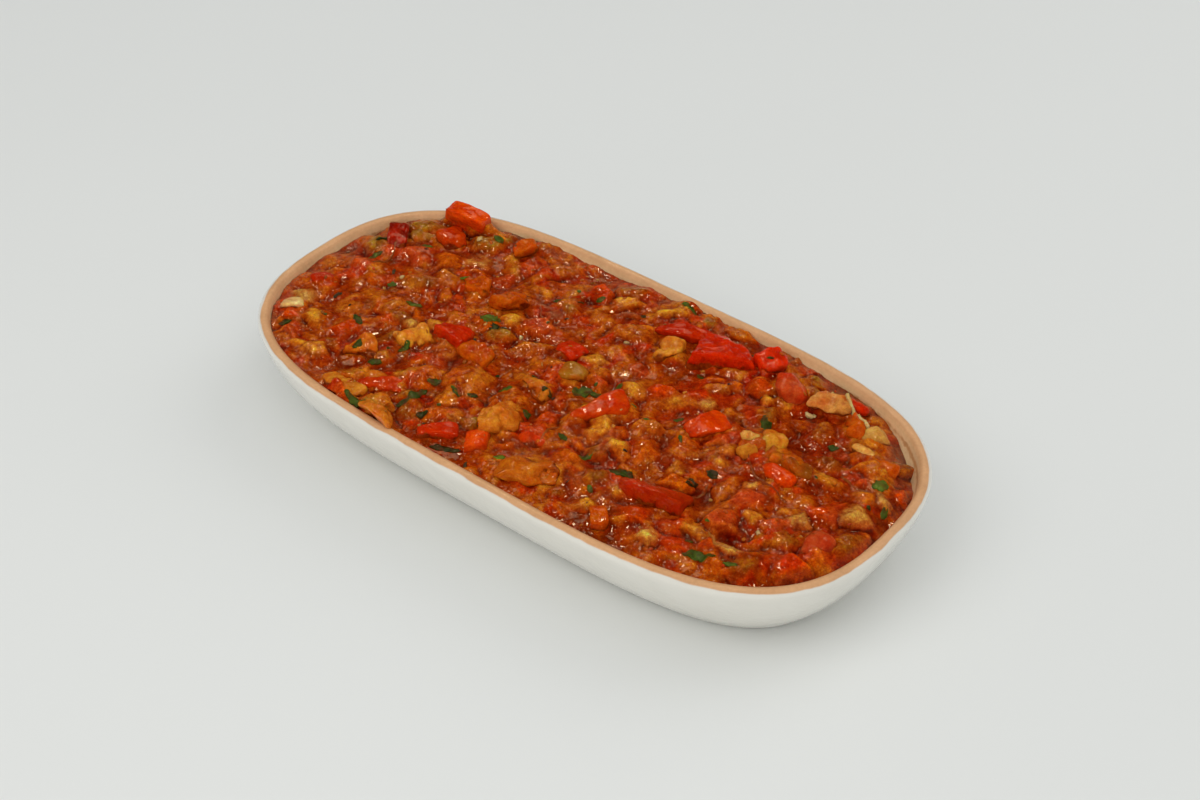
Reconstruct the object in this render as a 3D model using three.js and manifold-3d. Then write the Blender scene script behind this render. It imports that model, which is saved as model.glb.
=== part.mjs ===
// Roasted vegetable baba ghanoush in its long oval dish.
// Millimetres, +Z up, the dish's long axis on X, the base on Z = 0.

import * as THREE from 'three';
import { mergeVertices } from 'three/addons/utils/BufferGeometryUtils.js';
import Module from 'manifold-3d';

const wasm = await Module();
wasm.setup();
const { Manifold, Mesh } = wasm;

// Plan of the rim: |x / RIM_HALF_LENGTH|^END_POWER + |y / RIM_HALF_WIDTH|^SIDE_POWER = 1.
const RIM_HALF_LENGTH = 120;
const RIM_HALF_WIDTH = 59.6;
const END_POWER = 4.02;
const SIDE_POWER = 2.6;
const OUTLINE_SEGMENTS = 64;

// Section of the wall. An inset is measured inward from the rim's outline.
const DISH_HEIGHT = 30;
const BASE_INSET = 16;
const BASE_EDGE_BEVEL = 1.2;
const WALL_POWER = 1.8;
const LIP_WIDTH = 4.1;
const LIP_START_HEIGHT = 27.6;
const FLOOR_THICKNESS = 5;
const INNER_FLOOR_INSET = 21;
const OUTER_WALL_HEIGHTS = [0.6, 3, 7, 12, 18, 24];
const INNER_WALL_HEIGHTS = [24, 18, 13, 9, 6.2, FLOOR_THICKNESS];
const LIP_SECTION = [
  [0, LIP_START_HEIGHT],
  [0.45, 29.2],
  [LIP_WIDTH / 2, DISH_HEIGHT],
  [LIP_WIDTH - 0.45, 29.2],
  [LIP_WIDTH, LIP_START_HEIGHT],
];

// The mash: clear of the dish all round, low at its edge and heaped in the middle.
const CLEARANCE = 0.3;
const MASH_EDGE_HEIGHT = 26.2;
const MASH_HEAP = 2.6;
const MASH_RIPPLE = 0.35;
const MASH_TOP_RINGS = [0.96, 0.76, 0.5, 0.25];
const CORE_DROP = 1.7;
const MASH_BOX_TOP = 60;

// Hollows that show as dark, wet places: x, y, radius, depth.
const HOLLOWS = [
  [74, 22, 15, 2.2],
  [64, -17, 8, 1.8],
  [-60, 29, 10, 1.4],
  [104, 26, 26, 1.2],
  [-38, 48, 24, 0.9],
  [12, -2, 7, 1.2],
  [84, -26, 7, 1.4],
];

// What each kind of piece looks like: how square it is (2 is an ellipsoid), how rough, and
// how many faces its sides have as a piece of its own and as a piece of the heap.
const KINDS = {
  pepper: { squareness: 5, roughness: 0.03, bend: 0.16, own: [3, 2, 2], fused: [3, 2, 1] },
  tomato: { squareness: 2.5, roughness: 0.06, bend: 0.05, own: [2, 2, 2], fused: [2, 2, 1] },
  eggplant: { squareness: 3, roughness: 0.13, bend: 0.08, own: [3, 2, 2], fused: [2, 2, 1] },
  onion: { squareness: 2.6, roughness: 0.08, bend: 0.2, own: [2, 2, 2], fused: [2, 2, 1] },
};

// Pieces as large as a berry, each a solid of its own.
// name, kind, x, y, length, width, height, rise above the mash, yaw, pitch, roll
const LARGE_PIECES = [
  ['pepper_upright', 'pepper', -87.5, 44.6, 17, 6.4, 7.6, 9.2, 8, -3, -12],
  ['pepper_big_red', 'pepper', 30, 39.5, 22, 12, 7, 4.6, 20, 4, -14],
  ['pepper_big_red_end', 'pepper', 43.6, 46.6, 11, 9, 7, 5.2, 62, 4, 8],
  ['tomato_round_pink', 'tomato', 56.5, 39.5, 12, 12.5, 9, 4.6, 39, 0, -6],
  ['eggplant_amber_big', 'eggplant', 14, -45.6, 23, 13, 10, 4.2, 24, 0, 8],
  ['pepper_orange_bent', 'pepper', 16.5, -8.6, 21, 8.5, 6.6, 4.6, 62, -4, 10],
  ['eggplant_slab_right', 'eggplant', 70.5, 9.5, 26, 11, 9, 4.6, -7, 3, -16],
  ['pepper_strip_front', 'pepper', 52.5, -29.5, 24, 6.6, 6, 3.4, 14, 2, -20],
  ['eggplant_orange_ridged', 'eggplant', -46, 18.5, 14, 11.5, 8, 4.2, 80, 4, 0],
  ['eggplant_orange_block', 'eggplant', -58.6, 18.6, 9, 9.5, 7, 3.6, 36, 0, 0],
  ['pepper_red_fold', 'pepper', -46.8, -8.4, 13, 9, 6.5, 4.2, 8, 6, -10],
  ['pepper_orange_soft', 'pepper', -33.6, -11.6, 12.5, 7.5, 6, 3.4, -12, 6, 0],
  ['eggplant_yellow_lumps', 'eggplant', -57, -16.6, 13.5, 9.5, 7.5, 3.8, 52, 0, 6],
  ['eggplant_yellow_leafed', 'eggplant', -67.4, -31.4, 12.5, 9.6, 7, 3.4, 24, 0, 6],
  ['eggplant_yellow_lip', 'eggplant', -42.6, -49.6, 12.6, 7, 6.5, 5.4, -6, -4, 0],
  ['pepper_front_orange', 'pepper', -48.6, -41.6, 17, 6.5, 6, 3.4, 26, 0, 12],
  ['eggplant_pale_front', 'eggplant', -5.6, -31.6, 14, 11, 8, 4.4, 60, 0, 8],
  ['pepper_cube_front', 'pepper', -5.2, -43.8, 8, 7.5, 7, 4, 38, 0, 8],
  ['tomato_long_front', 'tomato', 5.6, -32.4, 12.5, 8, 7, 3.2, 34, 0, 10],
  ['onion_round_brown', 'onion', -3.2, 1.6, 12, 8.5, 7, 3.4, 27, 0, 0],
  ['eggplant_amber_skin', 'eggplant', -6.6, -12.4, 12.6, 8, 7.5, 3.6, -22, 0, 8],
  ['pepper_bright_right', 'pepper', 46.6, 6.2, 15, 8, 6, 3.8, 66, 0, 12],
  ['eggplant_cube_middle', 'eggplant', 14, 29.6, 9, 9, 7, 3.6, 22, 0, 6],
  ['eggplant_skin_back', 'eggplant', 70.6, 42.6, 14, 7, 7, 4.6, 14, -4, 10],
  ['eggplant_back_right', 'eggplant', 84.6, 37.2, 14, 10, 7.5, 3.8, -10, 0, 6],
  ['tomato_right', 'tomato', 102.4, -14.6, 12, 10.5, 8, 3.4, 40, 0, 0],
];

// Smaller pieces that show, fused to the heap. The columns are the same, without the name.
const SMALL_PIECES = [
  ['eggplant', -100.6, 34.4, 11, 9, 7, 3, 41, 0, 0],
  ['pepper', -101.6, 22.6, 16, 6, 5, 2.8, 128, 0, 0],
  ['eggplant', -103.6, 15.4, 11.5, 9, 7, 3.2, -20, 0, 0],
  ['tomato', -104.6, -11.6, 11, 9, 7, 3.4, 50, 0, 0],
  ['tomato', -100.4, 4.2, 11, 10, 7, 3, 50, 0, 0],
  ['onion', -103.4, -22.4, 10, 6.5, 5, 3, 25, 0, 0],
  ['tomato', -88.6, 19.6, 11.5, 10.5, 7, 3, 30, 0, 0],
  ['eggplant', -79.4, 23.6, 10, 9, 6.5, 2.6, 10, 0, 0],
  ['pepper', -86.2, 34.2, 9, 8.5, 7, 3.8, 60, 0, 0],
  ['eggplant', -74.6, 40.4, 11, 9, 7, 3.2, 38, 0, 0],
  ['onion', -76.4, 8.4, 12.5, 8.5, 6, 2.4, 8, 0, 0],
  ['tomato', -92.6, -37.2, 10.5, 6.4, 6, 3, -25, 0, 0],
  ['eggplant', -92.6, -27.8, 8.5, 6.5, 5.5, 2.8, -20, 0, 0],
  ['eggplant', -78.8, -41.4, 8, 8, 6, 2.8, 30, 0, 0],
  ['tomato', -79, -27, 14, 7, 5.5, 2.4, 70, 0, 0],
  ['eggplant', -60.4, -43.2, 13, 5.6, 5, 2.8, 38, 0, 0],
  ['eggplant', -32.6, -44.2, 9, 8.6, 6, 2.8, 55, 0, 0],
  ['eggplant', -24.8, -39.4, 9, 8, 6, 2.4, 50, 0, 0],
  ['pepper', -19, -47.2, 13, 6, 5, 2.8, 36, 0, 0],
  ['eggplant', 21.6, -33, 10, 9, 7, 3.6, 0, 0, 0],
  ['eggplant', 20.4, -15.6, 9.5, 8, 6, 3.2, 70, 0, 0],
  ['eggplant', 30.6, -18.4, 11.5, 6.4, 6, 3.2, -30, 0, 0],
  ['eggplant', 32, -5.4, 9, 8, 6, 2.8, 48, 0, 0],
  ['eggplant', 38.4, -14.6, 9, 8, 6, 2.8, 46, 0, 0],
  ['eggplant', 46.6, -5.6, 9, 9, 6, 2.6, 40, 0, 0],
  ['eggplant', 18.4, 6.4, 8, 7.4, 5.5, 2.8, 20, 0, 0],
  ['tomato', 53.4, -38, 11.5, 8.6, 6.5, 2.8, 36, 0, 0],
  ['pepper', 46.4, -47, 8, 5.4, 6, 3.2, 130, 0, 0],
  ['eggplant', 61.6, -44, 7, 6.4, 5.5, 2.8, 14, 0, 0],
  ['tomato', 75, -25.6, 10, 8, 6.5, 3, 76, 0, 0],
  ['tomato', 76, -12.6, 11.6, 8.6, 6.5, 3.2, 42, 0, 0],
  ['eggplant', 67.4, -11.4, 9, 6.5, 6, 3, 80, 0, 0],
  ['eggplant', 90.6, -35.6, 11.5, 8, 6.5, 2.8, 34, 0, 0],
  ['tomato', 101.8, -27.2, 8, 6.4, 6, 2.8, 44, 0, 0],
  ['tomato', 95.4, -3.2, 10, 8.4, 6, 3, 50, 0, 0],
  ['onion', 104.4, 3, 8.4, 7.4, 6, 3.2, 34, 0, 0],
  ['eggplant', 97.4, 24.2, 8.4, 7, 5.5, 3, 44, 0, 0],
  ['eggplant', 89, 9.6, 8.4, 6, 5.5, 2.8, 32, 0, 0],
  ['pepper', 11.4, 41.6, 16, 6, 5, 2.8, 15, 0, 0],
  ['eggplant', 0, 48, 11, 7.6, 7, 3.6, 48, 0, 0],
  ['tomato', -24.6, 41.8, 9, 9, 7, 3.2, 32, 0, 0],
  ['eggplant', -17.6, 49, 10.5, 9, 7, 3, 42, 0, 0],
  ['eggplant', -16.4, 31, 8, 10, 6, 2.4, 30, 0, 0],
  ['eggplant', -37.6, 35.2, 10, 9, 6, 2.4, 38, 0, 0],
  ['eggplant', -45.4, 45, 13, 9, 6.5, 2.6, 26, 0, 0],
  ['pepper', -63.4, 47.4, 9, 6, 6, 3.2, 60, 0, 0],
  ['eggplant', -3, 29.6, 15, 9, 6.5, 2.8, 19, 0, 0],
  ['eggplant', -21.4, 2.4, 13, 7.4, 6, 2.8, 27, 0, 0],
  ['pepper', -12.6, 9.6, 9, 7, 5.5, 2.8, -8, 0, 0],
  ['tomato', 24.6, 11, 9.6, 8.6, 6, 2.4, 32, 0, 0],
];

// Filler lumps between the pieces above, on a jittered grid.
const FILLER_PITCH = 14;
const FILLER_SIZE = [7, 11.5];
const FILLER_RISE = [0.9, 2.4];
const FILLER_HEIGHT = 6.5;
const FILLER_FREE_GAP = 0.62;
const FILLER_SEED = 4711;

// Herb flakes and leaves that lie on the mash: x, y, length, width, yaw.
const HERB_THICKNESS = 1.4;
const HERBS = [
  [-43.6, 6.2, 8.5, 7, 10],
  [4, -3.4, 7, 5.5, 40],
  [-36.6, -40, 13, 3, 76],
  [39, -27.4, 10.5, 4, 12],
  [78.6, -41, 10.5, 4.4, 27],
  [-53, -50.4, 10, 3, 14],
  [103.2, 18.8, 6, 4.6, 50],
  [-79.2, -20.8, 7, 3, -30],
  [-67.6, -33, 5, 3, 100],
  [-58.4, -34.4, 5, 3.2, 30],
  [-56.2, -22.8, 5, 2.6, 70],
  [-72.4, 43.6, 4.4, 4, 0],
  [4.6, 53.2, 8, 2.4, -12],
  [60, 20, 6, 4, -30],
  [-2, -24, 5, 3, -30],
  [-14.6, -19.6, 5, 3, 50],
  [26, -28.6, 5, 3, 60],
  [-98.4, -36.4, 5, 2.4, 60],
];

const PIECE_CLEARANCE = 0.35;
const HEAP_TOLERANCE = 0.2;
const UP = new THREE.Vector3(0, 0, 1);

const MATERIALS = {
  dish: { color: 0xe9e6dc, roughness: 0.35 },
  mash: { color: 0xb3521a, roughness: 0.4 },
  pepper: { color: 0xd8380c, roughness: 0.3 },
  tomato: { color: 0xcf3a22, roughness: 0.35 },
  eggplant: { color: 0xd08a2c, roughness: 0.4 },
  onion: { color: 0xc9964f, roughness: 0.35 },
};

// Small seeded random source, the same on every run.
function randomSource(seed) {
  let state = seed;
  return () => {
    state = (state * 16807) % 2147483647;
    return state / 2147483647;
  };
}

function signedPower(value, power) {
  return Math.sign(value) * Math.abs(value) ** power;
}

// One point of the rim's outline with its outward normal.
function rimPoint(turn) {
  const x = RIM_HALF_LENGTH * signedPower(Math.cos(turn), 2 / END_POWER);
  const y = RIM_HALF_WIDTH * signedPower(Math.sin(turn), 2 / SIDE_POWER);
  const slopeX = signedPower(x / RIM_HALF_LENGTH, END_POWER - 1) * END_POWER / RIM_HALF_LENGTH;
  const slopeY = signedPower(y / RIM_HALF_WIDTH, SIDE_POWER - 1) * SIDE_POWER / RIM_HALF_WIDTH;
  const size = Math.hypot(slopeX, slopeY);
  return { x, y, normalX: slopeX / size, normalY: slopeY / size };
}

// The outline as points that are evenly spaced along it.
function rimOutline(segments) {
  const fine = 7200;
  const walk = [];
  let length = 0;
  for (let i = 0; i <= fine; i += 1) {
    const point = rimPoint((2 * Math.PI * i) / fine);
    if (i > 0) {
      const last = walk[i - 1].point;
      length += Math.hypot(point.x - last.x, point.y - last.y);
    }
    walk.push({ point, length });
  }
  const outline = [];
  let step = 0;
  for (let i = 0; i < segments; i += 1) {
    const target = (length * i) / segments;
    while (walk[step].length < target) {
      step += 1;
    }
    outline.push(walk[step].point);
  }
  return outline;
}

const OUTLINE = rimOutline(OUTLINE_SEGMENTS);

// A closed solid from rings, listed from the middle of its base, round its outside, to the
// middle of its top. Each ring has an inset, a shrink and a height, or a height function.
function ringSolid(rings) {
  const positions = [];
  const index = [];
  const count = OUTLINE.length;
  const heightAt = (ring, x, y) => (typeof ring.height === 'function' ? ring.height(x, y) : ring.height);
  for (const ring of rings) {
    const shrink = ring.shrink ?? 1;
    for (const point of OUTLINE) {
      const x = (point.x - point.normalX * ring.inset) * shrink;
      const y = (point.y - point.normalY * ring.inset) * shrink;
      positions.push(x, y, heightAt(ring, x, y));
    }
  }
  for (let r = 0; r + 1 < rings.length; r += 1) {
    for (let i = 0; i < count; i += 1) {
      const next = (i + 1) % count;
      const a = r * count + i;
      const b = r * count + next;
      const c = (r + 1) * count + next;
      const d = (r + 1) * count + i;
      index.push(a, b, c, a, c, d);
    }
  }
  const bottom = positions.length / 3;
  positions.push(0, 0, heightAt(rings[0], 0, 0));
  positions.push(0, 0, heightAt(rings[rings.length - 1], 0, 0));
  const last = (rings.length - 1) * count;
  for (let i = 0; i < count; i += 1) {
    const next = (i + 1) % count;
    index.push(bottom, next, i);
    index.push(bottom + 1, last + i, last + next);
  }
  const geometry = new THREE.BufferGeometry();
  geometry.setAttribute('position', new THREE.Float32BufferAttribute(positions, 3));
  geometry.setIndex(index);
  return geometry;
}

function outerInset(height) {
  return BASE_INSET * (1 - height / DISH_HEIGHT) ** WALL_POWER;
}

function innerInset(height) {
  const share = (height - FLOOR_THICKNESS) / (LIP_START_HEIGHT - FLOOR_THICKNESS);
  return LIP_WIDTH + (INNER_FLOOR_INSET - LIP_WIDTH) * (1 - share) ** WALL_POWER;
}

function dishGeometry() {
  const rings = [{ inset: BASE_INSET + BASE_EDGE_BEVEL, height: 0 }];
  OUTER_WALL_HEIGHTS.forEach((height) => rings.push({ inset: outerInset(height), height }));
  LIP_SECTION.forEach(([inset, height]) => rings.push({ inset, height }));
  INNER_WALL_HEIGHTS.forEach((height) => rings.push({ inset: innerInset(height), height }));
  return ringSolid(rings);
}

// Height of the bare mash over a point of the plan.
function mashHeight(x, y) {
  const across = (Math.abs(x) / RIM_HALF_LENGTH) ** 3 + (Math.abs(y) / RIM_HALF_WIDTH) ** 2.4;
  let height = MASH_EDGE_HEIGHT + MASH_HEAP * Math.max(0, 1 - across);
  height += MASH_RIPPLE * (Math.sin(x * 0.31 + y * 0.11) + Math.sin(y * 0.37 - x * 0.13));
  for (const [hollowX, hollowY, radius, depth] of HOLLOWS) {
    const away = Math.hypot(x - hollowX, y - hollowY) / radius;
    height -= depth * Math.exp(-away * away);
  }
  return height;
}

// The side of the mash: the dish's inside, a clearance further in.
function mashSideRings() {
  const rings = [];
  const heights = [...INNER_WALL_HEIGHTS].reverse();
  heights.forEach((height) => {
    rings.push({ inset: innerInset(height) + CLEARANCE, height: height + CLEARANCE });
  });
  return rings;
}

// The bare core lies a little under the mash's level, as the pieces make up the rest.
function mashCoreGeometry() {
  const rings = mashSideRings();
  const rimInset = LIP_WIDTH + CLEARANCE;
  const height = (x, y) => mashHeight(x, y) - CORE_DROP;
  rings.pop();
  rings.push({ inset: rimInset + 0.9, height });
  MASH_TOP_RINGS.forEach((shrink) => rings.push({ inset: rimInset, shrink, height }));
  return ringSolid(rings);
}

// All the room that the food may take: the dish's inside and the space above its lip.
function foodRoomGeometry() {
  const rings = mashSideRings();
  const lip = [...LIP_SECTION].reverse();
  lip.slice(0, 3).forEach(([inset, height]) => {
    rings.push({ inset: inset + CLEARANCE, height: height + CLEARANCE });
  });
  rings.push({ inset: 0.8, height: DISH_HEIGHT + CLEARANCE });
  rings.push({ inset: 0.8, height: MASH_BOX_TOP });
  return ringSolid(rings);
}

// A rounded lump one unit across: a divided box drawn onto a squarish ellipsoid.
function lumpGeometry(kind, divisions, variant) {
  const box = new THREE.BoxGeometry(1, 1, 1, ...divisions);
  box.deleteAttribute('normal');
  box.deleteAttribute('uv');
  const lump = mergeVertices(box, 1e-4);
  const { squareness, roughness, bend } = kind;
  const place = lump.getAttribute('position');
  const point = new THREE.Vector3();
  for (let i = 0; i < place.count; i += 1) {
    point.fromBufferAttribute(place, i).normalize();
    const spread = Math.abs(point.x) ** squareness + Math.abs(point.y) ** squareness
      + Math.abs(point.z) ** squareness;
    const wave = Math.sin(5.1 * point.x + 1.3 * variant) + Math.sin(6.3 * point.y + 2.1 * variant)
      + Math.sin(4.7 * point.z + 0.7 * variant);
    point.multiplyScalar(0.5 * spread ** (-1 / squareness) * (1 + (roughness * wave) / 2));
    point.z -= bend * (4 * point.x * point.x - 0.4) * 0.5;
    place.setXYZ(i, point.x, point.y, point.z);
  }
  return lump;
}

function toManifold(geometry) {
  return new Manifold(new Mesh({
    numProp: 3,
    vertProperties: new Float32Array(geometry.getAttribute('position').array),
    triVerts: new Uint32Array(geometry.index.array),
  }));
}

function toGeometry(solid) {
  const mesh = solid.getMesh();
  const geometry = new THREE.BufferGeometry();
  geometry.setAttribute('position', new THREE.BufferAttribute(mesh.vertProperties.slice(), 3));
  geometry.setIndex(new THREE.BufferAttribute(mesh.triVerts.slice(), 1));
  return geometry;
}

// The lump of a piece, laid in its place and made larger on all sides by `grow`.
function placedLump(piece, divisions, grow) {
  const geometry = lumpGeometry(KINDS[piece.kind], divisions, piece.variant);
  const centreHeight = mashHeight(piece.x, piece.y) + piece.rise - piece.height / 2;
  const turn = new THREE.Euler(
    THREE.MathUtils.degToRad(piece.roll),
    THREE.MathUtils.degToRad(piece.pitch),
    THREE.MathUtils.degToRad(piece.yaw),
    'ZYX',
  );
  const matrix = new THREE.Matrix4().compose(
    new THREE.Vector3(piece.x, piece.y, centreHeight),
    new THREE.Quaternion().setFromEuler(turn),
    new THREE.Vector3(piece.length + 2 * grow, piece.width + 2 * grow, piece.height + 2 * grow),
  );
  geometry.applyMatrix4(matrix);
  return toManifold(geometry);
}

function readPiece(row, variant) {
  const [kind, x, y, length, width, height, rise, yaw, pitch, roll] = row;
  return { kind, x, y, length, width, height, rise, yaw, pitch, roll, variant };
}

// The largest body of a solid that a cut may have parted.
function largestBody(solid) {
  const bodies = solid.decompose();
  return bodies.reduce((best, body) => (body.volume() > best.volume() ? body : best));
}

// The large pieces in order: each gives way to the ones before it and to the dish.
function largeSolids(room) {
  const solids = [];
  let taken = null;
  LARGE_PIECES.forEach(([name, ...row], order) => {
    const piece = readPiece(row, order);
    const divisions = KINDS[piece.kind].own;
    let solid = placedLump(piece, divisions, 0).intersect(room);
    if (taken) {
      solid = solid.subtract(taken);
    }
    const pocket = placedLump(piece, divisions, PIECE_CLEARANCE);
    taken = taken ? taken.add(pocket) : pocket;
    solids.push({ name, kind: piece.kind, solid: largestBody(solid) });
  });
  return { solids, taken };
}

// Filler lumps wherever no listed piece lies.
function fillerPieces(listed) {
  const random = randomSource(FILLER_SEED);
  const between = ([low, high]) => low + (high - low) * random();
  const pieces = [];
  const columns = Math.floor(RIM_HALF_LENGTH / FILLER_PITCH);
  const rows = Math.floor(RIM_HALF_WIDTH / FILLER_PITCH);
  for (let column = -columns; column <= columns; column += 1) {
    for (let row = -rows; row <= rows; row += 1) {
      const shift = (column % 2) * 0.5;
      const x = (column + 0.7 * (random() - 0.5)) * FILLER_PITCH;
      const y = (row + shift + 0.7 * (random() - 0.5)) * FILLER_PITCH;
      const length = between(FILLER_SIZE);
      const width = length * (0.65 + 0.3 * random());
      const rise = between(FILLER_RISE);
      const yaw = 180 * random();
      const reach = (Math.abs(x) / (RIM_HALF_LENGTH - 9)) ** END_POWER
        + (Math.abs(y) / (RIM_HALF_WIDTH - 9)) ** SIDE_POWER;
      const blocked = listed.some((other) => (
        Math.hypot(x - other.x, y - other.y) < FILLER_FREE_GAP * (other.length + width) / 2 + 1.5));
      if (reach < 1 && !blocked) {
        pieces.push({
          kind: 'eggplant', x, y, length, width, height: FILLER_HEIGHT, rise, yaw, pitch: 0, roll: 0,
          variant: pieces.length,
        });
      }
    }
  }
  return pieces;
}

// A thin wavy leaf laid on the surface at the point where a ray from above meets it.
function herbSolids(surface) {
  const mesh = new THREE.Mesh(surface, new THREE.MeshBasicMaterial({ side: THREE.DoubleSide }));
  const caster = new THREE.Raycaster();
  const solids = [];
  HERBS.forEach(([x, y, length, width, yaw], order) => {
    caster.set(new THREE.Vector3(x, y, MASH_BOX_TOP), new THREE.Vector3(0, 0, -1));
    const [hit] = caster.intersectObject(mesh);
    if (!hit) {
      return;
    }
    const leaf = lumpGeometry({ squareness: 2.4, roughness: 0.1, bend: 0.3 }, [2, 1, 1], order);
    const lean = new THREE.Quaternion().setFromUnitVectors(UP, hit.face.normal);
    const turn = new THREE.Quaternion().setFromAxisAngle(UP, THREE.MathUtils.degToRad(yaw));
    const matrix = new THREE.Matrix4().compose(
      hit.point.clone().add(new THREE.Vector3(0, 0, 0.1)),
      lean.multiply(turn),
      new THREE.Vector3(length, width, HERB_THICKNESS),
    );
    leaf.applyMatrix4(matrix);
    solids.push(toManifold(leaf));
  });
  return solids;
}

// The heap: core, fused pieces and herbs, cut clear of the dish and of the large pieces.
function mashSolid(room, taken) {
  const listed = [
    ...LARGE_PIECES.map(([, ...row], order) => readPiece(row, order)),
    ...SMALL_PIECES.map((row, order) => readPiece(row, order)),
  ];
  const small = SMALL_PIECES.map((row, order) => {
    const piece = readPiece(row, order);
    return placedLump(piece, KINDS[piece.kind].fused, 0);
  });
  const filler = fillerPieces(listed).map((piece) => placedLump(piece, [2, 1, 1], 0));
  const core = toManifold(mashCoreGeometry());
  const bare = Manifold.union([core, ...small, ...filler]);
  const surface = toGeometry(bare);
  surface.computeVertexNormals();
  const heap = Manifold.union([bare, ...herbSolids(surface)]);
  return largestBody(heap.intersect(room).subtract(taken)).simplify(HEAP_TOLERANCE);
}

function namedMesh(name, geometry, material) {
  const finish = MATERIALS[material];
  const mesh = new THREE.Mesh(geometry, new THREE.MeshStandardMaterial({ name: material, ...finish }));
  mesh.name = name;
  return mesh;
}

function buildPart() {
  const group = new THREE.Group();
  group.name = 'vegetable_dish';
  const room = toManifold(foodRoomGeometry());
  const { solids, taken } = largeSolids(room);
  group.add(namedMesh('dish', dishGeometry(), 'dish'));
  group.add(namedMesh('vegetable_mash', toGeometry(mashSolid(room, taken)), 'mash'));
  solids.forEach(({ name, kind, solid }) => group.add(namedMesh(name, toGeometry(solid), kind)));
  return group;
}

export default buildPart();
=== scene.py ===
"""Chunky roasted baba ghanoush in its long oval dish, dressed for the render.

Sizes are in millimetres until a mesh is finished, and metres after that.
"""
import logging
import math
import random
from dataclasses import dataclass, field
from enum import Enum
from typing import Any, Iterable, Optional, Sequence, Union

import bmesh
import bpy
from mathutils import Euler, Matrix, Vector, noise
from mathutils.bvhtree import BVHTree


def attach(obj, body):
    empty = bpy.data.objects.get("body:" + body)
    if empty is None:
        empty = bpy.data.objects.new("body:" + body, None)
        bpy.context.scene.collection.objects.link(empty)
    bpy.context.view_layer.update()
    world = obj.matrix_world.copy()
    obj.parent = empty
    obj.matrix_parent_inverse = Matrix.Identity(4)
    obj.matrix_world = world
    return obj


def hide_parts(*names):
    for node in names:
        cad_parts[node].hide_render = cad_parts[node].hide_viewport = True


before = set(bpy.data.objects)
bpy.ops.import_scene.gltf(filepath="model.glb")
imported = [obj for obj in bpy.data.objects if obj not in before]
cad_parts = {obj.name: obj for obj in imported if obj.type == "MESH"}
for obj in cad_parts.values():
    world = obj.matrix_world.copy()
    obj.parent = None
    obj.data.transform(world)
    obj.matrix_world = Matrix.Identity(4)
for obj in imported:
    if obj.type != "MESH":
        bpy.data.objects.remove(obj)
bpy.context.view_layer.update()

LOG = logging.getLogger("vegetable_dish")
MM = 0.001
Colour = tuple[float, float, float]
Stops = Sequence[tuple[float, Colour]]
Spots = Sequence[tuple[float, float]]


# Shader maths


class Wire:
    """A number that runs through a shader: a node's output, with Python's own operators."""

    def __init__(self, bench: "ShaderBench", socket: bpy.types.NodeSocket) -> None:
        """Hold the bench and the socket that the number comes from."""
        self.bench = bench
        self.socket = socket

    def _math(self, operation: str, first: Any, second: Any) -> "Wire":
        """Add one Math node on two numbers or wires."""
        node = self.bench.node("ShaderNodeMath", {"operation": operation}, {0: first, 1: second})
        return Wire(self.bench, node.outputs[0])

    def __add__(self, other: Any) -> "Wire":
        """Wire plus a number or a wire."""
        return self._math("ADD", self, other)

    def __radd__(self, other: Any) -> "Wire":
        """Number plus the wire."""
        return self._math("ADD", other, self)

    def __sub__(self, other: Any) -> "Wire":
        """Wire minus a number or a wire."""
        return self._math("SUBTRACT", self, other)

    def __rsub__(self, other: Any) -> "Wire":
        """Number minus the wire."""
        return self._math("SUBTRACT", other, self)

    def __mul__(self, other: Any) -> "Wire":
        """Wire times a number or a wire."""
        return self._math("MULTIPLY", self, other)

    def __rmul__(self, other: Any) -> "Wire":
        """Number times the wire."""
        return self._math("MULTIPLY", other, self)

    def step(self, low: float, high: float) -> "Wire":
        """A smooth step from 0 at low to 1 at high."""
        node = self.bench.node("ShaderNodeMapRange", {"interpolation_type": "SMOOTHSTEP"},
                               {0: self, 1: low, 2: high, 3: 0.0, 4: 1.0})
        return Wire(self.bench, node.outputs[0])


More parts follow.
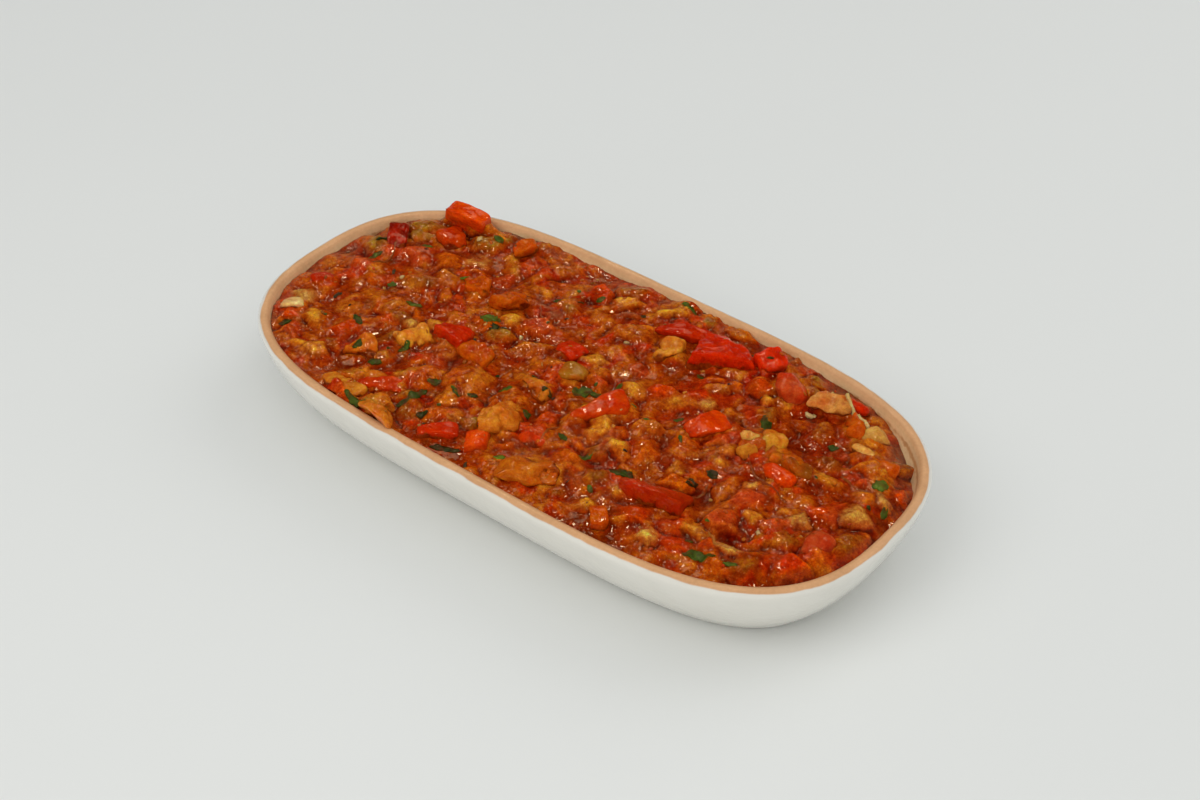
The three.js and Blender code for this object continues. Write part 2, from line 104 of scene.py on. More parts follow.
class ShaderBench:
    """One material's node tree, and the few ways in which nodes are added to it."""

    def __init__(self, name: str) -> None:
        """Make the material with an empty tree and its output.

        Args:
            name: the material's name.
        """
        self.material = bpy.data.materials.new(name)
        self.material.use_nodes = True
        self.tree = self.material.node_tree
        self.tree.nodes.clear()
        self.output = self.tree.nodes.new("ShaderNodeOutputMaterial")
        self.place = self.node("ShaderNodeTexCoord", {}, {}).outputs["Object"]

    def node(self, kind: str, settings: dict[str, Any],
             inputs: dict[Union[int, str], Any]) -> bpy.types.Node:
        """Add a node.

        Args:
            kind: the node's type.
            settings: its properties, with "stops" for a ramp's positions and colours.
            inputs: values or links by socket name or number; None leaves a socket alone.

        Returns:
            The new node.
        """
        node = self.tree.nodes.new(kind)
        for key, value in settings.items():
            if key == "stops":
                self._set_stops(node.color_ramp, value)
            else:
                setattr(node, key, value)
        for key, value in inputs.items():
            socket = node.inputs[key]
            if value is None:
                continue
            if isinstance(value, Wire):
                self.tree.links.new(value.socket, socket)
            elif isinstance(value, bpy.types.NodeSocket):
                self.tree.links.new(value, socket)
            elif isinstance(value, tuple) and len(value) == 3 and socket.type == "RGBA":
                socket.default_value = (*value, 1.0)
            else:
                socket.default_value = value
        return node

    @staticmethod
    def _set_stops(ramp: bpy.types.ColorRamp, stops: Stops) -> None:
        """Give a colour ramp its stops.

        Args:
            ramp: the ramp of a new node, which has two stops.
            stops: positions from 0 to 1 and their colours.
        """
        while len(ramp.elements) < len(stops):
            ramp.elements.new(1.0)
        for element, (position, colour) in zip(ramp.elements, stops):
            element.position = position
            element.color = (*colour, 1.0)

    def noise(self, size_mm: float, detail: float = 2.0, roughness: float = 0.5,
              distortion: float = 0.0) -> Wire:
        """A noise whose features measure size_mm."""
        node = self.node("ShaderNodeTexNoise", {"noise_dimensions": "3D"},
                         {"Vector": self.place, "Scale": 1.0 / (size_mm * MM), "Detail": detail,
                          "Roughness": roughness, "Distortion": distortion})
        return Wire(self, node.outputs[0])

    def cells(self, size_mm: float) -> Wire:
        """The distance pattern of cells that measure size_mm."""
        node = self.node("ShaderNodeTexVoronoi", {"feature": "F1"},
                         {"Vector": self.place, "Scale": 1.0 / (size_mm * MM)})
        return Wire(self, node.outputs["Distance"])

    def threads(self, size_mm: float) -> Wire:
        """Thin curved lines like wet membranes, 1 on a line and 0 between."""
        swept = self.noise(size_mm, 4.0, 0.6, 1.6)
        return swept.step(0.44, 0.5) * (1.0 - swept.step(0.5, 0.56))

    def attribute(self, name: str) -> bpy.types.Node:
        """The node that reads a mesh attribute."""
        return self.node("ShaderNodeAttribute", {"attribute_name": name}, {})

    def value_of(self, name: str) -> Wire:
        """A mesh attribute as a number."""
        return Wire(self, self.attribute(name).outputs["Fac"])

    def ramp(self, factor: Wire, stops: Stops) -> bpy.types.NodeSocket:
        """A colour picked from stops by a number."""
        return self.node("ShaderNodeValToRGB", {"stops": stops}, {0: factor}).outputs[0]

    def mix(self, factor: Union[Wire, float], first: Any, second: Any,
            blend: str = "MIX") -> bpy.types.NodeSocket:
        """Two colours mixed by a factor."""
        node = self.node("ShaderNodeMix", {"data_type": "RGBA", "blend_type": blend},
                         {0: factor, 6: first, 7: second})
        return node.outputs[2]

    def tinted(self, colour: Any, factor: Wire, stops: Stops, share: float = 1.0) -> bpy.types.NodeSocket:
        """A colour multiplied by a ramp's colour, in full or by a share."""
        return self.mix(share, colour, self.ramp(factor, stops), "MULTIPLY")

    def brightened(self, colour: Any, mask: Wire, gain: Colour) -> bpy.types.NodeSocket:
        """A colour multiplied by a gain where a mask is 1."""
        return self.mix(mask, colour, self.mix(1.0, colour, gain, "MULTIPLY"))

    def bump(self, height: Wire, depth_mm: float,
             normal: Optional[bpy.types.NodeSocket] = None) -> bpy.types.NodeSocket:
        """A bump of depth_mm, on top of another normal if one is given.

        Args:
            height: the relief, where 1 is depth_mm high.
            depth_mm: its depth in millimetres.
            normal: the normal that the bump is laid on.

        Returns:
            The link for the shader's Normal.
        """
        inputs = {"Strength": 1.0, "Distance": depth_mm * MM, "Height": height, "Normal": normal}
        return self.node("ShaderNodeBump", {}, inputs).outputs[0]

    def finish(self, colour: Any, roughness: Any, constants: dict[str, Any],
               normal: Optional[bpy.types.NodeSocket] = None) -> bpy.types.Material:
        """Close the tree with its Principled shader.

        Args:
            colour: a colour or a link for Base Color.
            roughness: a number or a wire for Roughness.
            constants: sockets that are the same all over.
            normal: a link for Normal.

        Returns:
            The finished material.
        """
        inputs = {**constants, "Base Color": colour, "Roughness": roughness, "Normal": normal}
        shader = self.node("ShaderNodeBsdfPrincipled", {}, inputs)
        self.tree.links.new(shader.outputs[0], self.output.inputs[0])
        return self.material


# Palettes and finishes


def shown(red: float, green: float, blue: float) -> Colour:
    """A colour given by its screen values from 0 to 255, made linear."""
    return tuple(value / 12.92 if value <= 0.04045 else ((value + 0.055) / 1.055) ** 2.4
                 for value in (red / 255, green / 255, blue / 255))


class Tone(Enum):
    """The colours of the cooked pieces."""

    CREAM = shown(240, 200, 136)
    PALE = shown(220, 156, 78)
    YELLOW = shown(224, 138, 40)
    AMBER = shown(206, 104, 20)
    ORANGE = shown(206, 84, 6)
    BROWN = shown(150, 78, 16)
    OLIVE = shown(160, 104, 26)
    FLAME = shown(212, 60, 2)
    BLAZE = shown(240, 72, 8)
    SCARLET = shown(220, 40, 2)
    RED = shown(200, 38, 2)
    BRICK = shown(172, 40, 3)
    DARK_RED = shown(136, 18, 5)
    PINK = shown(206, 70, 28)
    PURPLE = shown(138, 66, 48)
    # GLOW is the pulp's own deep orange, and also the painted shade and glow of the pieces' bases, flanks and
    # creases.
    GLOW = shown(184, 62, 2)
    SAUCE = shown(134, 50, 6)
    RUST = shown(130, 34, 4)
    DEEP = shown(82, 12, 0)


(CREAM, PALE, YELLOW, AMBER, ORANGE, BROWN, OLIVE, FLAME, BLAZE, SCARLET, RED, BRICK, DARK_RED, PINK,
 PURPLE, GLOW, SAUCE, RUST, DEEP) = Tone


@dataclass(frozen=True)
class VegetableFinish:
    """A wet cooked vegetable: mottled colour, fine grain, a film of sauce and a gloss."""

    name: str
    mottle_mm: float
    mottle_dark: Colour
    mottle_light: Colour
    grain_mm: float
    grain_depth_mm: float
    pit_depth_mm: float
    rough_high: float
    translucency: float
    film_reach: float
    rough_low: float = 0.05
    mottle_middle: Colour = (0.97, 0.87, 0.7)
    grit_mm: float = 0.7
    grit: Stops = ((0.34, (0.78, 0.55, 0.4)), (0.5, (1.0, 1.0, 1.0)), (0.66, (1.14, 1.4, 1.2)))
    # How the thread lines are brightened: partly the membranes' paler colour, partly a painted highlight
    # along them.
    thread_tint_and_highlight: Colour = (1.15, 1.6, 1.3)

    def build(self) -> bpy.types.Material:
        """Make the material.

        Returns:
            The finished material, which reads the attributes "paint" and "film".
        """
        bench = ShaderBench(self.name)
        broad = bench.noise(self.mottle_mm, 4.0, 0.62, 0.4)
        fine = bench.noise(self.grain_mm, 3.0, 0.6)
        mottle = ((0.28, self.mottle_dark), (0.5, self.mottle_middle), (0.74, self.mottle_light))
        colour = bench.tinted(bench.attribute("paint").outputs["Color"], broad, mottle)
        streak = bench.noise(self.mottle_mm * 0.45, 3.0, 0.65)
        film = (bench.value_of("film") * self.film_reach + (streak - 0.5) * 1.5).step(0.25, 0.75)
        sauce = bench.mix(broad.step(0.35, 0.65), DEEP.value, SAUCE.value)
        colour = bench.mix(film * 0.85, colour, sauce)
        colour = bench.tinted(colour, bench.noise(self.grit_mm, 3.0, 0.7), self.grit, 0.5)
        threads = bench.threads(self.mottle_mm)
        # The thread lines are paler: partly their own colour, partly a painted highlight.
        colour = bench.brightened(colour, threads * 0.3, self.thread_tint_and_highlight)
        cells = bench.cells(self.grain_mm * 1.6)
        height = bench.noise(self.grain_mm * 2.0, 1.0, 0.5) * 1.2 + cells * 0.5
        normal = bench.bump(height + threads * 0.4, self.grain_depth_mm)
        normal = bench.bump(bench.noise(self.mottle_mm * 0.8, 1.0, 0.5), self.pit_depth_mm, normal)
        roughness = self.rough_low + (self.rough_high - self.rough_low) * fine.step(0.35, 0.7)
        return bench.finish(colour, roughness, {
            "Subsurface Weight": self.translucency,
            "Subsurface Radius": (1.0, 0.32, 0.1),
            "Subsurface Scale": 2.2 * MM,
            "Specular IOR Level": 0.15,
            "Specular Tint": (1.0, 0.80, 0.70),
            "Coat Weight": 0.6,
            "Coat Roughness": 0.03,
        }, normal)


@dataclass(frozen=True)
class SauceFinish:
    """The pulpy, oily sauce that the pieces lie in."""

    name: str = "oily_pulp"
    mottle_mm: float = 5.5
    mottle: Stops = ((0.30, (0.62, 0.40, 0.3)), (0.5, (0.95, 0.82, 0.6)), (0.72, (1.19, 1.3, 0.85)))
    speck_mm: float = 1.5
    speck: Stops = ((0.34, (0.72, 0.50, 0.45)), (0.52, (1.0, 1.0, 1.0)), (0.70, (1.22, 1.7, 1.5)))
    # Painted shade in the creases and painted light on the crests, picked by the crest attribute.
    crease_shade_and_crest_light: Stops = ((0.14, (0.40, 0.18, 0.12)), (0.40, (0.86, 0.72, 0.65)), (0.55, (1.0, 1.0, 1.0)),
                     (0.86, (1.08, 1.25, 1.2)))
    # Painted shade in the broad valleys and painted light on the swells, picked by the swell attribute.
    valley_shade_and_swell_light: Stops = ((0.16, (0.46, 0.18, 0.1)), (0.40, (0.86, 0.66, 0.5)), (0.55, (1.0, 1.0, 1.0)),
                   (0.80, (1.10, 1.3, 1.3)))
    grit_mm: float = 0.7
    grit: Stops = ((0.34, (0.68, 0.42, 0.3)), (0.5, (1.0, 1.0, 1.0)), (0.66, (1.22, 1.6, 1.4)))
    thread_mm: float = 3.2
    # How the thread lines are brightened: partly the membranes' paler colour, partly a painted highlight
    # along them.
    thread_tint_and_highlight: Colour = (1.3, 1.9, 2.2)
    cell_mm: float = 2.1
    bead_mm: float = 1.1
    swell_mm: float = 1.7
    pulp_depth_mm: float = 0.5
    wave_mm: float = 4.5
    wave_depth_mm: float = 0.8

    def build(self) -> bpy.types.Material:
        """Make the material.

        Returns:
            The finished material, which reads the attributes "paint", "wet", "crest" and "swell".
        """
        bench = ShaderBench(self.name)
        broad = bench.noise(self.mottle_mm, 4.0, 0.65, 0.8)
        fine = bench.noise(self.speck_mm, 4.0, 0.65, 0.5)
        colour = bench.tinted(bench.attribute("paint").outputs["Color"], broad, self.mottle)
        colour = bench.tinted(colour, fine, self.speck, 0.7)
        crest = bench.value_of("crest") + (fine - 0.5) * 0.2
        # Painted shade: darker in the creases of the skin, lighter on its crests.
        colour = bench.tinted(colour, crest, self.crease_shade_and_crest_light)
        swell = bench.value_of("swell") + (broad - 0.5) * 0.25
        # Painted shade: darker in the broad valleys of the skin, lighter on its swells.
        colour = bench.tinted(colour, swell, self.valley_shade_and_swell_light)
        threads = bench.threads(self.thread_mm)
        # The thread lines are paler: partly their own colour, partly a painted highlight.
        colour = bench.brightened(colour, threads * 0.35, self.thread_tint_and_highlight)
        colour = bench.tinted(colour, bench.noise(self.grit_mm, 3.0, 0.7), self.grit, 0.6)
        dry = 1.0 - bench.value_of("wet") * 0.6
        pulp = bench.cells(self.cell_mm) * 0.6 + bench.cells(self.bead_mm) * 0.5
        pulp = pulp + bench.noise(self.swell_mm, 1.0, 0.5) * 0.9
        normal = bench.bump(pulp * dry + threads * 0.4, self.pulp_depth_mm)
        normal = bench.bump(bench.noise(self.wave_mm, 1.0, 0.5), self.wave_depth_mm, normal)
        roughness = 0.05 + 0.06 * fine.step(0.35, 0.75)
        return bench.finish(colour, roughness, {
            "Subsurface Weight": 0.5,
            "Subsurface Radius": (1.0, 0.4, 0.12),
            "Subsurface Scale": 1.6 * MM,
            "Specular IOR Level": 0.3,
            "Specular Tint": (1.0, 0.72, 0.55),
            "Coat Weight": 0.7,
            "Coat Roughness": 0.02,
        }, normal)


@dataclass(frozen=True)
class DishFinish:
    """White glaze outside, bare terracotta on the lip and inside, stained beside the food."""

    name: str = "glazed_terracotta"
    glaze: Colour = (0.775, 0.75, 0.68)
    clay: Colour = (0.66, 0.345, 0.155)
    # Painted light: the inner wall's clay is paler than the lip's, to light the shaded inner wall.
    painted_lit_clay_inside: Colour = (0.88, 0.60, 0.31)
    stain: Colour = (0.50, 0.19, 0.045)
    edge_mm: float = 9.0
    grain_mm: float = 1.1
    grain: Stops = ((0.3, (0.93, 0.91, 0.88)), (0.65, (1.04, 1.04, 1.05)))
    grain_depth_mm: float = 0.05
    patch_mm: float = 14.0
    clay_patch: Stops = ((0.3, (0.90, 0.88, 0.86)), (0.7, (1.07, 1.08, 1.10)))
    glaze_patch: Stops = ((0.3, (0.965, 0.96, 0.95)), (0.7, (1.0, 1.0, 1.0)))
    patch_depth_mm: float = 0.35
    smear_mm: float = 5.0

    def build(self) -> bpy.types.Material:
        """Make the material.

        Returns:
            The finished material, which reads the attributes "section", "wall" and "stain".
        """
        bench = ShaderBench(self.name)
        grain = bench.noise(self.grain_mm, 3.0, 0.6)
        patch = bench.noise(self.patch_mm, 3.0, 0.6)
        edge = bench.value_of("section") + (bench.noise(self.edge_mm, 2.0) - 0.5) * 1.1
        clay_mask = edge.step(-0.25, 0.25)
        # Painted light: the wall attribute turns the clay into the paler inner clay down the inner wall.
        clay = bench.mix(bench.value_of("wall"), self.clay, self.painted_lit_clay_inside)
        clay = bench.tinted(clay, patch, self.clay_patch)
        clay = bench.tinted(clay, grain, self.grain)
        smear = bench.noise(self.smear_mm, 4.0, 0.65, 1.2)
        stained = (bench.value_of("stain") + (smear - 0.5) * 1.3).step(0.45, 0.85)
        clay = bench.mix(stained * 0.7, clay, self.stain)
        glaze = bench.tinted(self.glaze, patch, self.glaze_patch)
        colour = bench.mix(clay_mask, glaze, clay)
        roughness = 0.16 + clay_mask * 0.26 - stained * clay_mask * 0.12
        normal = bench.bump(grain, self.grain_depth_mm)
        normal = bench.bump(patch, self.patch_depth_mm, normal)
        return bench.finish(colour, roughness, {
            "Specular IOR Level": 0.5,
            "Coat Weight": 0.15,
            "Coat Roughness": 0.1,
        }, normal)


@dataclass(frozen=True)
class PlainFinish:
    """A small thing with mottled colour and light grain: a herb, a seed or a charred bit."""

    name: str
    dark: Colour
    light: Colour
    grain_mm: float
    depth_mm: float
    roughness: float
    translucency: float = 0.0

    def build(self) -> bpy.types.Material:
        """Make the material.

        Returns:
            The finished material, which reads the attribute "paint".
        """
        bench = ShaderBench(self.name)
        broad = bench.noise(self.grain_mm * 2.5, 3.0, 0.6)
        fine = bench.noise(self.grain_mm, 3.0, 0.6)
        paint = bench.attribute("paint").outputs["Color"]
        colour = bench.tinted(paint, broad, ((0.3, self.dark), (0.7, self.light)))
        normal = bench.bump(fine, self.depth_mm)
        roughness = self.roughness + (fine - 0.5) * 0.2
        return bench.finish(colour, roughness, {
            "Subsurface Weight": self.translucency,
            "Subsurface Scale": 0.8 * MM,
            "Specular IOR Level": 0.25,
            "Specular Tint": (1.0, 0.9, 0.8),
            "Coat Weight": 0.08,
            "Coat Roughness": 0.1,
        }, normal)


# The dish


@dataclass(frozen=True)
class RimPlan:
    """The rim's outline in plan: a long oval with flattened sides and round ends."""

    half_length: float = 120.0
    half_width: float = 59.6
    end_power: float = 4.02
    side_power: float = 2.6
    fine_steps: int = 7200

    def point(self, turn: float) -> tuple[float, float, float, float]:
        """One point of the outline and its outward normal.

        Args:
            turn: the point's angle round the oval, from 0 to a full turn.

        Returns:
            The point's x and y, and the x and y of its unit normal.
        """
        cos, sin = math.cos(turn), math.sin(turn)
        x = self.half_length * math.copysign(abs(cos) ** (2 / self.end_power), cos)
        y = self.half_width * math.copysign(abs(sin) ** (2 / self.side_power), sin)
        slope_x = math.copysign(abs(x / self.half_length) ** (self.end_power - 1), x)
        slope_x *= self.end_power / self.half_length
        slope_y = math.copysign(abs(y / self.half_width) ** (self.side_power - 1), y)
        slope_y *= self.side_power / self.half_width
        size = math.hypot(slope_x, slope_y)
        return x, y, slope_x / size, slope_y / size

    def walk(self, count: int) -> list[tuple[float, float, float, float]]:
        """Points that are evenly spaced along the outline.

        Args:
            count: how many points.

        Returns:
            Each point's x and y, and the x and y of its unit normal.
        """
        points = [self.point(2 * math.pi * step / self.fine_steps) for step in range(self.fine_steps + 1)]
        lengths = [0.0]
        for start, end in zip(points, points[1:]):
            lengths.append(lengths[-1] + math.hypot(end[0] - start[0], end[1] - start[1]))
        result = []
        step = 1
        for number in range(count):
            target = lengths[-1] * number / count
            while lengths[step] < target:
                step += 1
            share = (target - lengths[step - 1]) / max(1e-9, lengths[step] - lengths[step - 1])
            x, y, normal_x, normal_y = (low + (high - low) * share
                                        for low, high in zip(points[step - 1], points[step]))
            size = math.hypot(normal_x, normal_y)
            result.append((x, y, normal_x / size, normal_y / size))
        return result

    def reach(self, x: float, y: float, inset: float) -> float:
        """Under 1 inside the outline drawn in by inset, over 1 outside it."""
        along = (abs(x) / (self.half_length - inset)) ** self.end_power
        return along + (abs(y) / (self.half_width - inset)) ** self.side_power


PLAN = RimPlan()


@dataclass
class Dish:
    """The oval dish: curved wall, rounded lip, flat floor and flat base."""

    height: float = 30.0
    base_inset: float = 16.0
    base_round: float = 1.2
    wall_power: float = 1.8
    outer_heights: Sequence[float] = (0.35, 1.2, 2.6, 4.6, 7.2, 10.4, 14.2, 18.4, 22.6, 25.6)
    lip_width: float = 4.1
    lip_start: float = 27.6
    lip_steps: int = 12
    lip_fullness: float = 0.82
    inner_heights: Sequence[float] = (25.8, 22.8, 19.4, 16.0, 12.8, 10.0, 7.8, 6.2, 5.3, 5.0)
    inner_blend_steps: float = 3.0
    floor_thickness: float = 5.0
    inner_floor_inset: float = 21.0
    segments: int = 200
    glaze_edge: float = 1.6
    glaze_climb: float = 0.9
    glaze_climb_way: tuple[float, float] = (-0.63, 0.78)
    stain_depth: float = 4.6
    stain_reach: float = 3.0
    finish: DishFinish = DishFinish()

    def outer_inset(self, height: float) -> float:
        """How far the outer wall stands in from the rim at a height."""
        return self.base_inset * (1 - height / self.height) ** self.wall_power

    def inner_inset(self, height: float) -> float:
        """How far the inner wall stands in from the rim at a height."""
        share = min(1.0, max(0.0, (height - self.floor_thickness) / (self.lip_start - self.floor_thickness)))
        return self.lip_width + (self.inner_floor_inset - self.lip_width) * (1 - share) ** self.wall_power

    def section(self) -> list[tuple[float, float]]:
        """The wall's section, up the outside, over the lip and down to the floor's edge.

        Returns:
            Points as their distance in from the rim and their height.
        """
        outline = [(self.base_inset + self.base_round, 0.0)]
        outline += [(self.outer_inset(height), height) for height in self.outer_heights]
        middle = self.lip_width / 2
        top = self.height - self.lip_start
        for step in range(self.lip_steps + 1):
            angle = math.pi * step / self.lip_steps
            bulge = abs(math.cos(angle)) ** self.lip_fullness
            outline.append((middle - middle * math.copysign(bulge, math.cos(angle)),
                            self.lip_start + top * math.sin(angle) ** self.lip_fullness))
        outline += [(self.inner_inset(height), height) for height in self.inner_heights]
        return outline

    def build(self) -> bpy.types.Object:
        """Extrude the rim's rings along the section and close base and floor.

        Returns:
            The dish, with the attributes "section", "wall" and "stain" for its finish.
        """
        ring_points = PLAN.walk(self.segments)
        section = self.section()
        lip_top = max(range(len(section)), key=lambda step: section[step][1])
        bm = bmesh.new()
        along = bm.verts.layers.float.new("section")
        inside = bm.verts.layers.float.new("wall")
        stain = bm.verts.layers.float.new("stain")
        verts = bmesh.ops.create_circle(bm, segments=self.segments, radius=1.0)["verts"]
        order = {vert: place for place, vert in enumerate(verts)}
        travelled = [0.0]
        for start, end in zip(section, section[1:]):
            travelled.append(travelled[-1] + math.hypot(end[0] - start[0], end[1] - start[1]))
        edge_at = travelled[lip_top] - self.glaze_edge
        way_x, way_y = self.glaze_climb_way
        for step, (inset, height) in enumerate(section):
            if step:
                made = bmesh.ops.extrude_edge_only(bm, edges=self._ring_edges(order))["geom"]
                fresh = [item for item in made if isinstance(item, bmesh.types.BMVert)]
                order = {vert: self._neighbour(vert, order) for vert in fresh}
            for vert, place in order.items():
                x, y, normal_x, normal_y = ring_points[place]
                vert.co = Vector((x - normal_x * inset, y - normal_y * inset, height))
                climb = smooth_step(way_y * normal_y + way_x * normal_x, -0.6, 0.1)
                vert[along] = travelled[step] - edge_at - self.glaze_climb * climb
                # The wall attribute picks the paler inner clay, which is painted light on the inner wall.
                if step > lip_top:
                    vert[inside] = min(1.0, max(0.0, (step - lip_top) / self.inner_blend_steps - 1.0))
                    off = abs(self.height - height - self.stain_depth)
                    vert[stain] = max(0.0, 1.0 - off / self.stain_reach)
        floor = self._ring_edges(order)
        base = [edge for edge in bm.edges if edge.is_boundary and edge not in set(floor)]
        bmesh.ops.contextual_create(bm, geom=floor)
        bmesh.ops.contextual_create(bm, geom=base)
        bmesh.ops.recalc_face_normals(bm, faces=bm.faces)
        return finish_mesh(bm, "dish_body", self.finish.build())

    @staticmethod
    def _ring_edges(order: dict) -> list:
        """The edges that join the vertices of the newest ring."""
        edges = dict.fromkeys(edge for vert in order for edge in vert.link_edges)
        return [edge for edge in edges if all(vert in order for vert in edge.verts)]

    @staticmethod
    def _neighbour(vert: bmesh.types.BMVert, order: dict) -> int:
        """The place on the ring of a vertex that was just extruded.

        Args:
            vert: the new vertex.
            order: the last ring's vertices and their places.

        Returns:
            The place of the vertex that it was extruded from.
        """
        for edge in vert.link_edges:
            other = edge.other_vert(vert)
            if other in order:
                return order[other]
        raise RuntimeError("an extruded vertex has no parent on the last ring")


def finish_mesh(bm: bmesh.types.BMesh, name: str, material: bpy.types.Material) -> bpy.types.Object:
    """Scale a bmesh from millimetres, make its object at the origin and give it a finish.

    Args:
        bm: the mesh, which is freed.
        name: the object's name.
        material: its finish.

    Returns:
        The new object.
    """
    bmesh.ops.scale(bm, vec=(MM, MM, MM), verts=bm.verts)
    mesh = bpy.data.meshes.new(name)
    for face in bm.faces:
        face.smooth = True
    bm.to_mesh(mesh)
    bm.free()
    mesh.materials.append(material)
    obj = bpy.data.objects.new(name, mesh)
    bpy.context.collection.objects.link(obj)
    LOG.info("%s: %d faces", name, len(mesh.polygons))
    return obj


def thicken(sheet: bmesh.types.BMesh, thickness: float) -> None:
    """Give an open sheet a back, set off from it along its normals.

    Args:
        sheet: the mesh, which becomes closed.
        thickness: how far the back lies behind it, in millimetres.
    """
    sheet.normal_update()
    normals = {vert: vert.normal.copy() for vert in sheet.verts}
    front = list(sheet.faces)
    copy = bmesh.ops.duplicate(sheet, geom=front)
    for source, twin in copy["vert_map"].items():
        if source in normals:
            twin.co = source.co - normals[source] * thickness
    back = [item for item in copy["geom"] if isinstance(item, bmesh.types.BMFace)]
    bmesh.ops.reverse_faces(sheet, faces=back)
    rim = [edge for edge in sheet.edges if edge.is_boundary]
    bmesh.ops.bridge_loops(sheet, edges=rim)
    bmesh.ops.recalc_face_normals(sheet, faces=sheet.faces)


def add_mesh(bm: bmesh.types.BMesh, part: bmesh.types.BMesh) -> None:
    """Move a finished bmesh into another one, and free it."""
    mesh = bpy.data.meshes.new("part")
    part.to_mesh(mesh)
    part.free()
    bm.from_mesh(mesh)
    bpy.data.meshes.remove(mesh)


def added(bm: bmesh.types.BMesh, mesh: bpy.types.Mesh) -> list[bmesh.types.BMVert]:
    """Add a mesh to a bmesh and give its new vertices."""
    start = len(bm.verts)
    bm.from_mesh(mesh)
    bm.verts.ensure_lookup_table()
    return bm.verts[start:]


def unit_ball(cuts: int) -> bpy.types.Mesh:
    """A cube divided cuts times on each edge, blown up to a unit sphere.

    Args:
        cuts: how often each edge is cut.

    Returns:
        The mesh.
    """
    bm = bmesh.new()
    bmesh.ops.create_cube(bm, size=2.0)
    bmesh.ops.subdivide_edges(bm, edges=bm.edges, cuts=cuts, use_grid_fill=True)
    for vert in bm.verts:
        vert.co.normalize()
    mesh = bpy.data.meshes.new("ball")
    bm.to_mesh(mesh)
    bm.free()
    return mesh


# The mash and its pieces


class Kind(Enum):
    """The vegetables: sharpness of cut edges, bend, warp in mm, knobs in mm, second colour."""

    PEPPER = ("pepper", 12.0, 0.24, 0.8, 0.14, RED)
    TOMATO = ("tomato", 4.0, 0.05, 1.6, 0.28, RED)
    EGGPLANT = ("eggplant", 7.0, 0.08, 2.0, 0.42, ORANGE)
    ONION = ("onion", 5.0, 0.20, 1.2, 0.20, AMBER)

    def __init__(self, label: str, sharpness: float, bend: float, warp: float, knob: float,
                 second: Tone) -> None:
        """Name the kind's values.

        Args:
            label: its name, which names the object of its pieces.
            sharpness: how sharp its cut edges are.
            bend: how much a piece sags at its ends.
            warp: how far it is warped, in millimetres.
            knob: how high its knobs are, in millimetres.
            second: the colour that its own is mottled with.
        """
        self.label = label
        self.sharpness = sharpness
        self.bend = bend
        self.warp = warp
        self.knob = knob
        self.second = second


def vector_of(tone: Tone) -> Vector:
    """A tone's colour as a vector."""
    return Vector(tone.value)


@dataclass(eq=False)
class Cut:
    """One piece of vegetable where it lies; a soft one is a lump of the pulp's own skin."""

    kind: Kind
    x: float
    y: float
    length: float
    width: float
    height: float
    rise: float
    yaw: float
    pitch: float = 0.0
    roll: float = 0.0
    tone: Tone = AMBER
    node: str = ""
    soft: bool = False
    trims: int = 5
    taper: float = 0.0
    knobs: float = 1.0
    lift: float = 0.0
    corner_power: int = 7
    lean: float = 0.32
    sides: list = field(default_factory=list)

    def __post_init__(self) -> None:
        """Draw the sides of its outline, as unit directions, their distances and their slopes."""
        rng = random.Random(int(abs(self.x * 97 + self.y * 31) * 10))
        count = rng.choice((4, 5, 5, 6))
        turn = rng.uniform(0, 0.6)
        for side in range(count):
            angle = turn + 2 * math.pi * (side + rng.uniform(-0.22, 0.22)) / count
            distance, slope = rng.uniform(0.78, 1.08), rng.uniform(0.9, 3.2)
            self.sides.append((math.cos(angle), math.sin(angle), distance, slope))

    def span(self, u: float, v: float) -> float:
        """How far out a point lies on a soft piece.

        Args:
            u: the point along the piece, in its half length.
            v: the point across it, in its half width.

        Returns:
            0 in the middle and 1 on the outline.
        """
        total = 0.0
        for along, across, distance, _ in self.sides:
            facing = (u * along + v * across) / distance
            if facing > 0:
                total += facing ** self.corner_power
        return total ** (1 / self.corner_power)

    def faces(self, u: float, v: float) -> float:
        """Height of a soft piece's knife-cut faces.

        Args:
            u: the point along the piece, in its half length.
            v: the point across it, in its half width.

        Returns:
            0 on the outline and about 1 on top.
        """
        body = 1.0 + self.lean * (u * math.sin(self.x * 7.1) + v * math.sin(self.y * 5.3))
        for along, across, distance, slope in self.sides:
            side = (1.0 - (u * along + v * across) / distance) * slope
            body = -filleted(-body, -side, 0.3)
        return body

    def local(self, x: float, y: float) -> tuple[float, float]:
        """A plan point in the piece's own half sizes.

        Args:
            x: the point along the dish.
            y: the point across it.

        Returns:
            The point along and across the piece.
        """
        angle = math.radians(self.yaw)
        dx, dy = x - self.x, y - self.y
        along = dx * math.cos(angle) + dy * math.sin(angle)
        across = -dx * math.sin(angle) + dy * math.cos(angle)
        return along / (self.length / 2), across / (self.width / 2)


PEPPER, TOMATO, EGGPLANT, ONION = Kind

